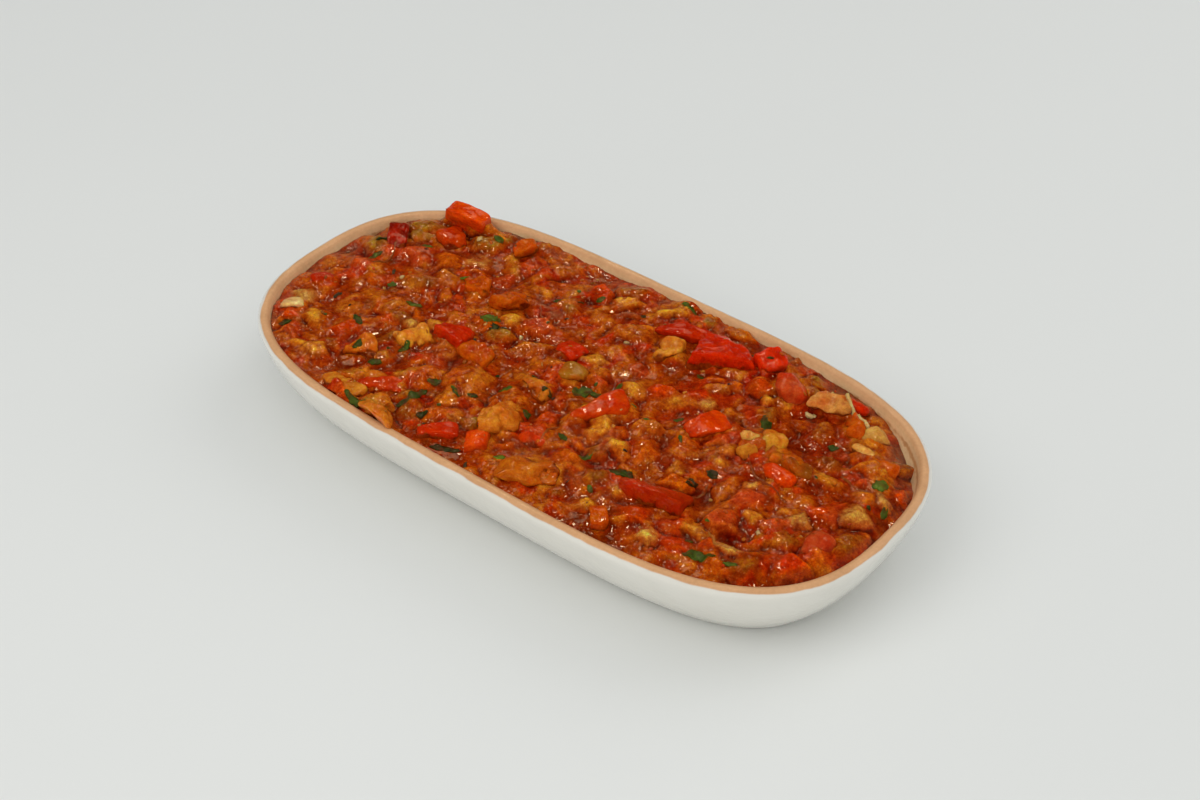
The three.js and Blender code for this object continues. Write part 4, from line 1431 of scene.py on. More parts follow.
    def _with_sauce(self, spot: SkinSpot, height: float, colour: Vector) -> tuple[float, Vector, float]:
        """Fill the creases of the skin with sauce.

        Args:
            spot: the point.
            height: the skin's height without the sauce.
            colour: its colour without the sauce.

        Returns:
            The height, the colour and how far the sauce covers it, from 0 to 1.
        """
        pool = spot.level + self.sauce_rise + 0.8 * spot.bank + 0.7 * patches(spot.x, spot.y, *POOLS)
        pool += 0.12 * patches(spot.wide_x, spot.wide_y, *POOL_RIPPLES)
        glow = smooth_step(pool - height, *GLOW_DEPTHS)
        wet = smooth_step(pool - height, *WET_DEPTHS)
        # Painted shade: the skin is darker in the deep hollows. Painted glow: it turns to GLOW near and under
        # the sauce's level.
        depth = smooth_step(self.level.hollow(spot.x, spot.y), 1.2, 2.6)
        colour = colour.lerp(vector_of(RUST), 0.55 * depth).lerp(vector_of(GLOW), 0.5 * glow)
        still = vector_of(SAUCE).lerp(vector_of(RUST), smooth_step(spot.hue, -0.2, 0.3))
        return filleted(height, pool, 1.2), colour.lerp(still, 0.85 * wet), wet


def mark_crests(bm: bmesh.types.BMesh, name: str, rounds: int, reach: float) -> None:
    """Note how far each vertex stands out of the smoothed mesh, from 0 in a fold's bottom to 1 on a crest.

    Args:
        bm: the mesh, which keeps its shape.
        name: the attribute's name.
        rounds: how often it is smoothed for the comparison.
        reach: the height in millimetres that counts as a full crest.
    """
    crest = bm.verts.layers.float.new(name)
    shape = [vert.co.copy() for vert in bm.verts]
    bm.normal_update()
    normals = [vert.normal.copy() for vert in bm.verts]
    for _ in range(rounds):
        bmesh.ops.smooth_vert(bm, verts=bm.verts, factor=0.5, use_axis_x=True, use_axis_y=True,
                              use_axis_z=True)
    for vert, place, normal in zip(bm.verts, shape, normals):
        vert[crest] = min(1.0, max(0.0, 0.5 + (place - vert.co).dot(normal) / (2 * reach)))
        vert.co = place


@dataclass
class PulpSkin:
    """The mesh of the pulp: a fine grid under the dish's lip, closed down to its floor."""

    heap: Heap
    step: float = 0.53
    half_x: float = 117.0
    half_y: float = 56.6
    tuck: float = 3.4
    floor: float = 5.6
    foot_x: float = 0.84
    foot_y: float = 0.69
    # Each attribute's name, rounds of smoothing and full height; the sauce's finish paints shade in the
    # creases and valleys and light on the crests and swells by them.
    reliefs: tuple = (("crest", 12, 0.6), ("swell", 70, 1.7))
    finish: SauceFinish = SauceFinish()

    def build(self) -> bpy.types.Object:
        """Shape the grid, paint it and close it below.

        Returns:
            The pulp.
        """
        bm = bmesh.new()
        bmesh.ops.create_grid(bm, x_segments=int(2 * self.half_x / self.step),
                              y_segments=int(2 * self.half_y / self.step), size=1.0)
        bmesh.ops.scale(bm, vec=(self.half_x, self.half_y, 1.0), verts=bm.verts)
        outside = [vert for vert in bm.verts if PLAN.reach(vert.co.x, vert.co.y, self.tuck) > 1]
        bmesh.ops.delete(bm, geom=outside, context="VERTS")
        paint = bm.verts.layers.float_color.new("paint")
        wet = bm.verts.layers.float.new("wet")
        for vert in bm.verts:
            vert.co.z, colour, vert[wet] = self.heap.skin(vert.co.x, vert.co.y)
            vert[paint] = (*colour, 1.0)
        for name, rounds, reach in self.reliefs:
            mark_crests(bm, name, rounds, reach)
        rim = [edge for edge in bm.edges if edge.is_boundary]
        for item in bmesh.ops.extrude_edge_only(bm, edges=rim)["geom"]:
            if isinstance(item, bmesh.types.BMVert):
                item.co = Vector((item.co.x * self.foot_x, item.co.y * self.foot_y, self.floor))
        foot = [edge for edge in bm.edges if edge.is_boundary]
        bmesh.ops.holes_fill(bm, edges=foot, sides=0)
        bmesh.ops.recalc_face_normals(bm, faces=bm.faces)
        return finish_mesh(bm, "mash_pulp", self.finish.build())


class PieceShaper:
    """Cuts pieces to shape: a divided cube is drawn in by knife planes, warped and knobbed."""

    ROUND_POWER = 3.2
    KNOB_SIZE = 5.5
    NUB_SIZE = 2.6
    WARP_WAVES = 0.17
    MOTTLE_WAVES = 0.24
    EDGE_WAVES = 0.3
    FILM_WAVES = 0.6
    RIM_SHARE = 0.8
    SEED_STEP = 7

    def __init__(self, heap: Heap) -> None:
        """Keep the heap, whose level the pieces lie on."""
        self.heap = heap
        self.blanks: dict[int, bpy.types.Mesh] = {}

    def blank(self, cuts: int) -> bpy.types.Mesh:
        """A unit ball divided cuts times, made once."""
        if cuts not in self.blanks:
            self.blanks[cuts] = unit_ball(cuts)
        return self.blanks[cuts]

    @staticmethod
    def knife_planes(kind: Kind, trims: int, rng: random.Random) -> list[tuple[Vector, float]]:
        """Six jittered sides and a few slanting cuts.

        Args:
            kind: the vegetable, of which a pepper is cut straighter.
            trims: how many slanting cuts there are.
            rng: the piece's random source.

        Returns:
            Each plane's normal and distance.
        """
        sway = 0.12 if kind is PEPPER else 0.24
        planes = []
        for axis in range(3):
            for side in (-1, 1):
                normal = Vector((0, 0, 0))
                normal[axis] = side
                normal += Vector([rng.uniform(-sway, sway) for _ in range(3)])
                planes.append((normal.normalized(), rng.uniform(0.9, 1.02)))
        flatness = 0.15 if kind is PEPPER else 0.7
        for _ in range(trims):
            normal = Vector((rng.gauss(0, 1), rng.gauss(0, 1), rng.gauss(0.2, flatness)))
            planes.append((normal.normalized(), rng.uniform(0.82, 1.1)))
        return planes

    @staticmethod
    def drawn_in(way: Vector, planes: list[tuple[Vector, float]], power: float) -> Vector:
        """A point of the unit ball moved onto the rounded block that the planes cut.

        Args:
            way: the point, as a direction.
            planes: the knife planes.
            power: how sharp the block's edges are.

        Returns:
            The point on a block that measures about 1.
        """
        total = 0.0
        for normal, distance in planes:
            facing = normal.dot(way) / distance
            if facing > 0:
                total += facing ** power
        return way * (0.5 * total ** (-1 / power))

    def lay(self, bm: bmesh.types.BMesh, cut: Cut, divisions: int, seed: int) -> None:
        """Shape one piece and add it to a mesh.

        Args:
            bm: the mesh of its kind, with the layers "paint" and "film".
            cut: the piece.
            divisions: how finely it is divided.
            seed: its own seed.
        """
        rng = random.Random(seed)
        kind, heap = cut.kind, self.heap
        planes = self.knife_planes(kind, cut.trims, rng)
        power = kind.sharpness if cut.knobs > 0.5 else self.ROUND_POWER
        turn = Euler((math.radians(cut.roll), math.radians(cut.pitch), math.radians(cut.yaw))).to_matrix()
        level = heap.level.at(cut.x, cut.y) + self.RIM_SHARE * heap.rim_rise(cut.x, cut.y) + cut.lift
        centre = Vector((cut.x, cut.y, level + cut.rise - cut.height / 2))
        flesh = Vector(self.varied(cut.tone.value, rng)[:3])
        other = Vector(self.varied(kind.second.value, rng)[:3])
        # low is painted shade and glow: the deeper colour that a piece takes at its base, near the mash, and
        # in the creases of its knobs.
        low = vector_of(GLOW)
        if kind in (PEPPER, TOMATO):
            low = vector_of(cut.tone).lerp(vector_of(DARK_RED), 0.6)
        paint = bm.verts.layers.float_color["paint"]
        film = bm.verts.layers.float["film"]
        offset = Vector((seed * 1.37, seed * 0.61, seed * 0.29))
        for vert in added(bm, self.blank(divisions)):
            way = vert.co.copy()
            point = self.drawn_in(way, planes, power)
            point.z -= kind.bend * (4 * point.x * point.x - 0.4) * 0.5
            point.y *= 1 + 2 * cut.taper * point.x
            point = Vector((point.x * cut.length, point.y * cut.width, point.z * cut.height))
            spot = point + offset
            point += drift(spot * self.WARP_WAVES) * kind.warp * (0.25 + 0.15 * cut.trims)
            puff = folds(spot, self.KNOB_SIZE)
            nubs = folds(spot + Vector((0, 0, 40)), self.NUB_SIZE)
            point += way * kind.knob * cut.knobs * (2.2 * puff + 0.9 * nubs - 1.4)
            vert.co = turn @ point + centre
            over = vert.co.z - heap.level.at(vert.co.x, vert.co.y) + heap.core_drop
            over -= self.RIM_SHARE * heap.rim_rise(vert.co.x, vert.co.y)
            over += 1.6 * noise.noise(spot * self.EDGE_WAVES)
            mottle = smooth_step(noise.noise(spot * self.MOTTLE_WAVES), -0.1, 0.55)
            shade = flesh.lerp(other, 0.6 * mottle)
            # Painted shade and glow towards the base, near the mash, then painted shade in the creases of the
            # knobs.
            shade = low.lerp(shade, smooth_step(over, -0.2, 0.8 * cut.rise + 0.4))
            shade = shade.lerp(low, cut.knobs * kind.knob * (1 - smooth_step(puff, 0.25, 0.7)))
            vert[paint] = (*shade, 1.0)
            clear = over + 0.8 * noise.noise(spot * self.FILM_WAVES)
            vert[film] = 1 - smooth_step(clear, 0.2, 0.5 * cut.rise + 1.0)
            if cut.tone is BLAZE:
                vert[film] *= 0.5

    @staticmethod
    def varied(colour: Colour, rng: random.Random) -> tuple[float, float, float, float]:
        """A colour with a chance swing in lightness and warmth.

        Args:
            colour: the linear colour.
            rng: the random source, which gives two numbers.

        Returns:
            The colour with an alpha of 1.
        """
        light = rng.uniform(0.86, 1.14)
        warm = rng.uniform(0.88, 1.14)
        return (min(0.85, colour[0] * light), colour[1] * light * warm, colour[2] * light * warm, 1.0)

    def joined(self, name: str, cuts: Iterable[tuple[Cut, int]], finish: VegetableFinish,
               seed: int) -> bpy.types.Object:
        """Lay several pieces into one object.

        Args:
            name: the object's name.
            cuts: the pieces, and how finely each is divided.
            finish: the finish of their kind.
            seed: the first piece's seed.

        Returns:
            The object.
        """
        bm = bmesh.new()
        bm.verts.layers.float_color.new("paint")
        bm.verts.layers.float.new("film")
        for number, (cut, divisions) in enumerate(cuts):
            self.lay(bm, cut, divisions, seed + number * self.SEED_STEP)
        return finish_mesh(bm, name, finish.build())


class Surface:
    """The top of all that is built so far, met by rays from above."""

    RAY_START = 0.08
    LOWEST = 20.0
    MOST_CORNERS = 8

    def __init__(self, objects: Sequence[bpy.types.Object]) -> None:
        """Make a search tree of each object, without the many-sided faces that close it below.

        Args:
            objects: the finished pieces.
        """
        self.trees = []
        for obj in objects:
            mesh = obj.data
            coords = [vert.co.copy() for vert in mesh.vertices]
            faces = [tuple(poly.vertices) for poly in mesh.polygons
                     if len(poly.vertices) <= self.MOST_CORNERS]
            self.trees.append(BVHTree.FromPolygons(coords, faces))

    def top(self, x: float, y: float) -> tuple[float, Vector]:
        """The highest surface over a plan point.

        Args:
            x: the point along the dish.
            y: the point across it.

        Returns:
            Its height in millimetres and its normal.
        """
        best = (self.LOWEST, Vector((0, 0, 1)))
        for tree in self.trees:
            place, normal, _, _ = tree.ray_cast(Vector((x * MM, y * MM, self.RAY_START)), Vector((0, 0, -1)))
            if place is not None and place.z / MM > best[0]:
                best = (place.z / MM, normal.copy())
        return best


# Small things on top


@dataclass
class Leaves:
    """Chopped herb leaves and stems, draped over what they lie on."""

    surface: Surface
    chance_seed: int = 8
    thickness: float = 0.35
    cell: float = 0.7
    tear: float = 0.75
    clearance: float = 0.18
    curl: float = 0.7
    veil: float = 0.6
    flakes: tuple = (
        # x, y, length, width, yaw, lightness
        (-43.6, 6.2, 8.5, 7, 10, 1.0), (4, -3.4, 7.5, 6, 40, 0.9), (-36.6, -40, 13.5, 3.2, 76, 0.5),
        (39, -27.4, 10.5, 4, 12, 0.35), (78.6, -41, 10.5, 4.4, 27, 0.75), (-49.6, -52.6, 11, 3.4, -6, 0.9),
        (103.2, 18.8, 6, 4.6, 50, 1.2), (-79.2, -20.8, 7, 3, -30, 0.5), (-67.6, -33, 5, 3, 100, 0.55),
        (-58.4, -34.4, 5, 3.2, 30, 0.5), (-56.2, -22.8, 5, 2.6, 70, 0.55), (-72.4, 43.6, 4.4, 4, 0, 1.0),
        (4.6, 53.2, 8, 2.4, -12, 0.7), (60, 20, 6.4, 4, -30, 0.5), (-2, -24, 5, 3, -30, 0.5),
        (-14.6, -19.6, 5, 3, 50, 0.8), (26, -28.6, 5, 3, 60, 0.8), (-98.4, -36.4, 5, 2.4, 60, 0.5),
        (-38.6, 2.6, 4.4, 3.6, 60, 0.2), (-2.4, -13.4, 4.6, 3.2, 0, 0.4), (9.6, -1.6, 7, 3.2, 20, 0.6),
        (12.4, 5.4, 4, 3, 60, 0.9), (36.6, 4.6, 4.6, 3, 80, 0.6), (44.4, -4.6, 4.4, 1.4, -40, 0.7),
        (-36.4, -29.4, 5.4, 3.2, 45, 0.6), (-26.4, -30.4, 6.4, 2, -20, 0.6), (-20.6, -28.6, 4, 2.4, 30, 0.4),
        (4.4, -44.4, 4, 3.2, 50, 1.5), (14.6, -26, 5.4, 2.2, -20, 0.6), (60.4, -9.6, 4.6, 3, 0, 0.15),
        (58.6, -17.4, 4.6, 2.6, 60, 0.15), (-28, -44.6, 4.4, 2.6, 50, 0.25), (-12, -51.4, 11, 3.2, 32, 0.18),
        (80.6, 27.4, 4, 2.6, 20, 0.5), (88.6, -38.6, 5, 1.8, 20, 0.8), (109.6, 11.4, 4.6, 2.6, 100, 1.0),
        (-66.6, 19.4, 5, 1.8, 60, 1.5), (-6, 41.4, 2.4, 2, 0, 0.3), (-100.6, 10, 6.4, 2.4, 80, 0.6),
        (-104.6, 17.6, 5, 1.4, 70, 0.3), (-91, 26.4, 4, 2.6, 30, 1.0), (-70.6, -2.4, 6, 3, 20, 1.0),
        (35.6, -38.4, 3, 1.6, -20, 1.1), (-32.4, 28, 3.4, 2.4, 20, 0.6), (-22, 38.6, 3.6, 3, 50, 0.7),
        (28.6, 27, 4, 1.6, -20, 0.5), (-84.6, 1.4, 4, 1.6, 30, 0.9), (73, -38, 3, 1.6, 20, 0.6),
    )
    small_count: int = 22
    green: Colour = shown(76, 96, 15)
    finish: PlainFinish = PlainFinish(
        "chopped_herbs", dark=(0.45, 0.5, 0.5), light=(1.5, 1.5, 1.4), grain_mm=0.6, depth_mm=0.12,
        roughness=0.34, translucency=0.1)

    def build(self) -> bpy.types.Object:
        """Drape the listed leaves and the small ones, and join them.

        Returns:
            All the leaves.
        """
        rng = random.Random(self.chance_seed)
        flakes = list(self.flakes)
        for _ in range(self.small_count):
            x, y = chance_spot(rng, 108, 50, 8)
            flakes.append((x, y, rng.uniform(1.4, 3.0), rng.uniform(0.8, 1.7), rng.uniform(0, 180),
                           rng.uniform(0.3, 1.1)))
        bm = bmesh.new()
        bm.verts.layers.float_color.new("paint")
        for flake in flakes:
            add_mesh(bm, self._leaf(flake, rng))
        return finish_mesh(bm, "herb_leaves", self.finish.build())

    def _leaf(self, flake: Sequence[float], rng: random.Random) -> bmesh.types.BMesh:
        """One leaf: a small grid, torn at its edge, draped and given its thickness.

        Args:
            flake: its x, y, length, width, yaw and lightness.
            rng: the leaves' random source.

        Returns:
            The leaf as a mesh of its own.
        """
        x, y, length, width, yaw, lightness = flake
        sheet = bmesh.new()
        paint = sheet.verts.layers.float_color.new("paint")
        columns, rows = max(4, int(length / self.cell)), max(3, int(width / self.cell))
        bmesh.ops.create_grid(sheet, x_segments=columns, y_segments=rows, size=0.5)
        angle = math.radians(yaw)
        shift = rng.uniform(0, 40)
        shade = rng.uniform(0.8, 1.2)
        length, width = 0.9 * length, 0.8 * width
        for vert in sheet.verts:
            u, v = vert.co.x * 2, vert.co.y * 2
            rim = (1 - abs(u) ** 2.2) ** 0.6 if abs(u) < 1 else 0.0
            torn = 1 + self.tear * noise.noise(Vector((u * 3.2 + shift, 3.0 if v > 0 else -3.0, shift)))
            v *= max(0.12, rim) * torn
            u += 0.18 * noise.noise(Vector((v * 3.0, shift, u)))
            place_x = x + (u * length * math.cos(angle) - v * width * math.sin(angle)) / 2
            place_y = y + (u * length * math.sin(angle) + v * width * math.cos(angle)) / 2
            height, _ = self.surface.top(place_x, place_y)
            curl = self.curl * patches(place_x, place_y, 0.45, shift)
            vert.co = Vector((place_x, place_y, height + self.clearance + max(-0.1, curl)))
            light = lightness * shade * (0.85 + 0.5 * patches(place_x, place_y, 1.0, 4.0))
            veil = self.veil * smooth_step(patches(place_x, place_y, 0.6, shift), -0.1, 0.5)
            leaf = (Vector(self.green) * light).lerp(vector_of(RUST) * 0.5, veil)
            vert[paint] = (*leaf, 1.0)
        bmesh.ops.smooth_vert(sheet, verts=sheet.verts, factor=0.5, use_axis_x=False, use_axis_y=False,
                              use_axis_z=True)
        thicken(sheet, self.thickness)
        return sheet


@dataclass
class Crumbs:
    """Bits of pulp, seeds and charred bits, half sunk in whatever they lie on."""

    surface: Surface
    pulp_chance: int = 31
    pulp_count: int = 160
    pulp_tones: tuple = (AMBER, ORANGE, YELLOW, FLAME, PINK, PALE, BROWN, ORANGE, RED, AMBER)
    seed_chance: int = 77
    seed_count: int = 9
    seeds: tuple = (
        # x, y, length, width
        (-77, 38.6, 2.6, 1.6), (65.8, 35.4, 3.0, 1.8), (67.2, 36.3, 1.8, 1.3), (0, 24.6, 1.8, 1.2),
        (86.6, -22, 1.8, 1.2), (-83.4, 5.6, 1.8, 1.4), (-30.4, 6.4, 1.8, 1.2),
    )
    pale_seed: Colour = (0.60, 0.40, 0.16)
    brown_seed: Colour = (0.52, 0.24, 0.05)
    charred_chance: int = 19
    charred_count: int = 24
    charred: tuple = (
        # x, y, length, width
        (-90, 8, 6.4, 2.6), (-36.6, 5, 4, 3), (-95, -14.6, 6, 3.2), (60.4, -8.4, 5, 3), (58, -16.4, 4.4, 2.6),
        (-25.6, -47.6, 5.4, 2.4), (-40.6, -5.4, 4, 2), (3.8, 47, 2, 1.6), (9.4, 55.4, 1.6, 1.4),
        (-2, -53.2, 6, 2.4),
    )
    charred_length: float = 0.6
    charred_width: float = 0.5
    lumps: float = 0.6
    burnt_skin: Colour = (0.045, 0.030, 0.012)
    burnt_crumb: Colour = (0.035, 0.014, 0.007)
    pulp_finish: PlainFinish = PlainFinish(
        "pulp_bits", dark=(0.6, 0.45, 0.35), light=(1.2, 1.5, 1.8), grain_mm=0.7, depth_mm=0.15,
        roughness=0.28, translucency=0.2)
    seed_finish: PlainFinish = PlainFinish(
        "pale_seeds", dark=(0.8, 0.75, 0.7), light=(1.1, 1.1, 1.1), grain_mm=0.6, depth_mm=0.05,
        roughness=0.3, translucency=0.2)
    charred_finish: PlainFinish = PlainFinish(
        "charred_skin", dark=(0.5, 0.5, 0.5), light=(1.6, 1.5, 1.4), grain_mm=0.6, depth_mm=0.15,
        roughness=0.3)

    def build_pulp(self) -> bpy.types.Object:
        """Scatter the bits of pulp.

        Returns:
            All of them as one object.
        """
        rng = random.Random(self.pulp_chance)
        bits = []
        for _ in range(self.pulp_count):
            x, y = chance_spot(rng, 115, 55, 5.6)
            size = rng.uniform(0.9, 2.2) * rng.uniform(0.7, 1.0)
            tint = vector_of(SAUCE).lerp(vector_of(rng.choice(self.pulp_tones)), 0.6)
            bits.append((x, y, size, size * rng.uniform(0.35, 0.8), PieceShaper.varied(tuple(tint), rng)))
        return self._scatter("pulp_bits", bits, self.pulp_finish, rng, 2, 0.42)

    def build_seeds(self) -> bpy.types.Object:
        """Lay the listed seeds and a few small ones.

        Returns:
            All of them as one object.
        """
        rng = random.Random(self.seed_chance)
        bits = [(*seed, (*self.pale_seed, 1.0)) for seed in self.seeds]
        while len(bits) < self.seed_count:
            bits.append((*chance_spot(rng, 110, 50, 8), rng.uniform(1.1, 1.8), rng.uniform(0.8, 1.2),
                         (*self.brown_seed, 1.0)))
        return self._scatter("seeds", bits, self.seed_finish, rng, 3, 0.2)

    def build_charred(self) -> bpy.types.Object:
        """Lay the listed charred bits and some small ones.

        Returns:
            All of them as one object.
        """
        rng = random.Random(self.charred_chance)
        bits = [(x, y, length * self.charred_length, width * self.charred_width, (*self.burnt_skin, 1.0))
                for x, y, length, width in self.charred]
        while len(bits) < self.charred_count:
            bits.append((*chance_spot(rng, 110, 50, 8), rng.uniform(0.7, 1.8), rng.uniform(0.5, 1.0),
                         (*self.burnt_crumb, 1.0)))
        return self._scatter("charred_bits", bits, self.charred_finish, rng, 3, 0.5)

    def _scatter(self, name: str, bits: Sequence[tuple], finish: PlainFinish, rng: random.Random,
                 divisions: int, sink: float) -> bpy.types.Object:
        """Lay rounded bits with their flat side on the surface.

        Args:
            name: the object's name.
            bits: each bit's x, y, length, width and colour.
            finish: the finish of them all.
            rng: their random source.
            divisions: how finely each is divided.
            sink: the share of its thickness that lies below the surface.

        Returns:
            All bits as one object.
        """
        ball = unit_ball(divisions)
        bm = bmesh.new()
        paint = bm.verts.layers.float_color.new("paint")
        for x, y, length, width, colour in bits:
            height, normal = self.surface.top(x, y)
            thick = width * rng.uniform(0.55, 0.9)
            lean = Vector((0, 0, 1)).rotation_difference(normal).to_matrix()
            turn = lean @ Matrix.Rotation(rng.uniform(0, math.pi), 3, "Z")
            shift = Vector((x, y, rng.uniform(0, 20)))
            centre = Vector((x, y, height)) + normal * thick * (0.5 - sink)
            for vert in added(bm, ball):
                way = vert.co.copy()
                lump = 1 + self.lumps * noise.noise(way * 1.4 + shift)
                vert.co = turn @ Vector((way.x * length / 2 * lump, way.y * width / 2 * lump,
                                         way.z * thick / 2 * lump)) + centre
                vert[paint] = colour
        bpy.data.meshes.remove(ball)
        return finish_mesh(bm, name, finish.build())


@dataclass
class SkinCurls:
    """Thin curled edges of skin that stand in the pulp."""

    surface: Surface
    thickness: float = 0.8
    path_steps: int = 5
    bands: int = 3
    sunk: float = 0.7
    highest_foot: float = 31.0
    curls: tuple = (
        # How far it rises, its colour, and the x and y of each point of its path.
        (0.15, (0.24, 0.04, 0.01), ((62, 16), (62.4, 9), (65.4, 3.4), (72, -2), (80, -4.6), (85.6, -6))),
        (0.15, (0.24, 0.04, 0.01), ((60.4, -9), (62.6, -14.6), (61.6, -20.4), (57.4, -25.4))),
        (0.15, (0.30, 0.05, 0.02), ((-38, 26), (-31.4, 19.4), (-24.6, 20))),
        (1.1, (0.66, 0.45, 0.20), ((66.4, 47.6), (73, 46), (79.4, 42.6), (86, 38.4))),
        (0.15, (0.30, 0.06, 0.01), ((12, -19), (8.4, -25.6), (10, -31.4))),
        (0.15, (0.26, 0.05, 0.01), ((-30, -26.4), (-24.4, -31), (-16, -27))),
        (0.15, (0.44, 0.16, 0.03), ((74, -30.6), (79.4, -34), (86, -33.4))),
        (0.15, (0.26, 0.05, 0.01), ((-100, 20.4), (-96.4, 12), (-98, 6))),
        (0.15, (0.30, 0.06, 0.01), ((90, 17), (97, 14.6), (103, 16))),
    )

    def build(self, finish: VegetableFinish) -> bpy.types.Object:
        """Make every curl and join them.

        Args:
            finish: the finish of the skin.

        Returns:
            All the curls.
        """
        bm = bmesh.new()
        bm.verts.layers.float_color.new("paint")
        bm.verts.layers.float.new("film")
        for rise, colour, path in self.curls:
            add_mesh(bm, self._curl(rise, colour, path))
        return finish_mesh(bm, "skin_curls", finish.build())

    def _curl(self, rise: float, colour: Colour, path: Spots) -> bmesh.types.BMesh:
        """Extrude one curl up from its path and give it a thickness.

        Args:
            rise: how far its upper edge stands above the food.
            colour: its colour.
            path: the plan points that it runs through.

        Returns:
            The curl as a mesh of its own.
        """
        strip = bmesh.new()
        paint = strip.verts.layers.float_color.new("paint")
        row = []
        for x, y in smoothed(path, self.path_steps):
            sway = 0.5 * patches(x, y, 0.5, 2.0)
            height, _ = self.surface.top(x, y)
            row.append(strip.verts.new((x + sway, y - sway, min(height, self.highest_foot) - self.sunk)))
        for first, second in zip(row, row[1:]):
            strip.edges.new((first, second))
        for band in range(self.bands):
            edges = [edge for edge in strip.edges if all(vert in row for vert in edge.verts)]
            made = bmesh.ops.extrude_edge_only(strip, edges=edges)["geom"]
            row = [item for item in made if isinstance(item, bmesh.types.BMVert)]
            for vert in row:
                wave = patches(vert.co.x, vert.co.y, 0.4, band * 0.7)
                climb = (rise + self.sunk) / self.bands * (1 + 0.3 * wave)
                vert.co += Vector((0.5 * wave, 0.5 * wave, climb))
        for vert in strip.verts:
            vert[paint] = (*colour, 1.0)
        bmesh.ops.recalc_face_normals(strip, faces=strip.faces)
        thicken(strip, self.thickness)
        return strip


def smoothed(path: Spots, steps: int) -> Spots:
    """A smooth curve through the points of a path.

    Args:
        path: the points, as x and y.
        steps: how many steps lead from one point to the next.

    Returns:
        The curve's points, from the path's first to its last.
    """
    points = [Vector(point) for point in (path[0], *path, path[-1])]
    curve = []
    for before, start, end, after in zip(points, points[1:], points[2:], points[3:]):
        for step in range(steps):
            share = step / steps
            spot = 0.5 * ((2 * start) + (end - before) * share
                          + (2 * before - 5 * start + 4 * end - after) * share * share
                          + (3 * start - before - 3 * end + after) * share ** 3)
            curve.append((spot.x, spot.y))
    return [*curve, tuple(path[-1])]


# The studio


@dataclass(frozen=True)
class Lamp:
    """A round lamp that faces the dish; its size and place are in metres."""

    name: str
    size: float
    watts: float
    place: tuple[float, float, float]


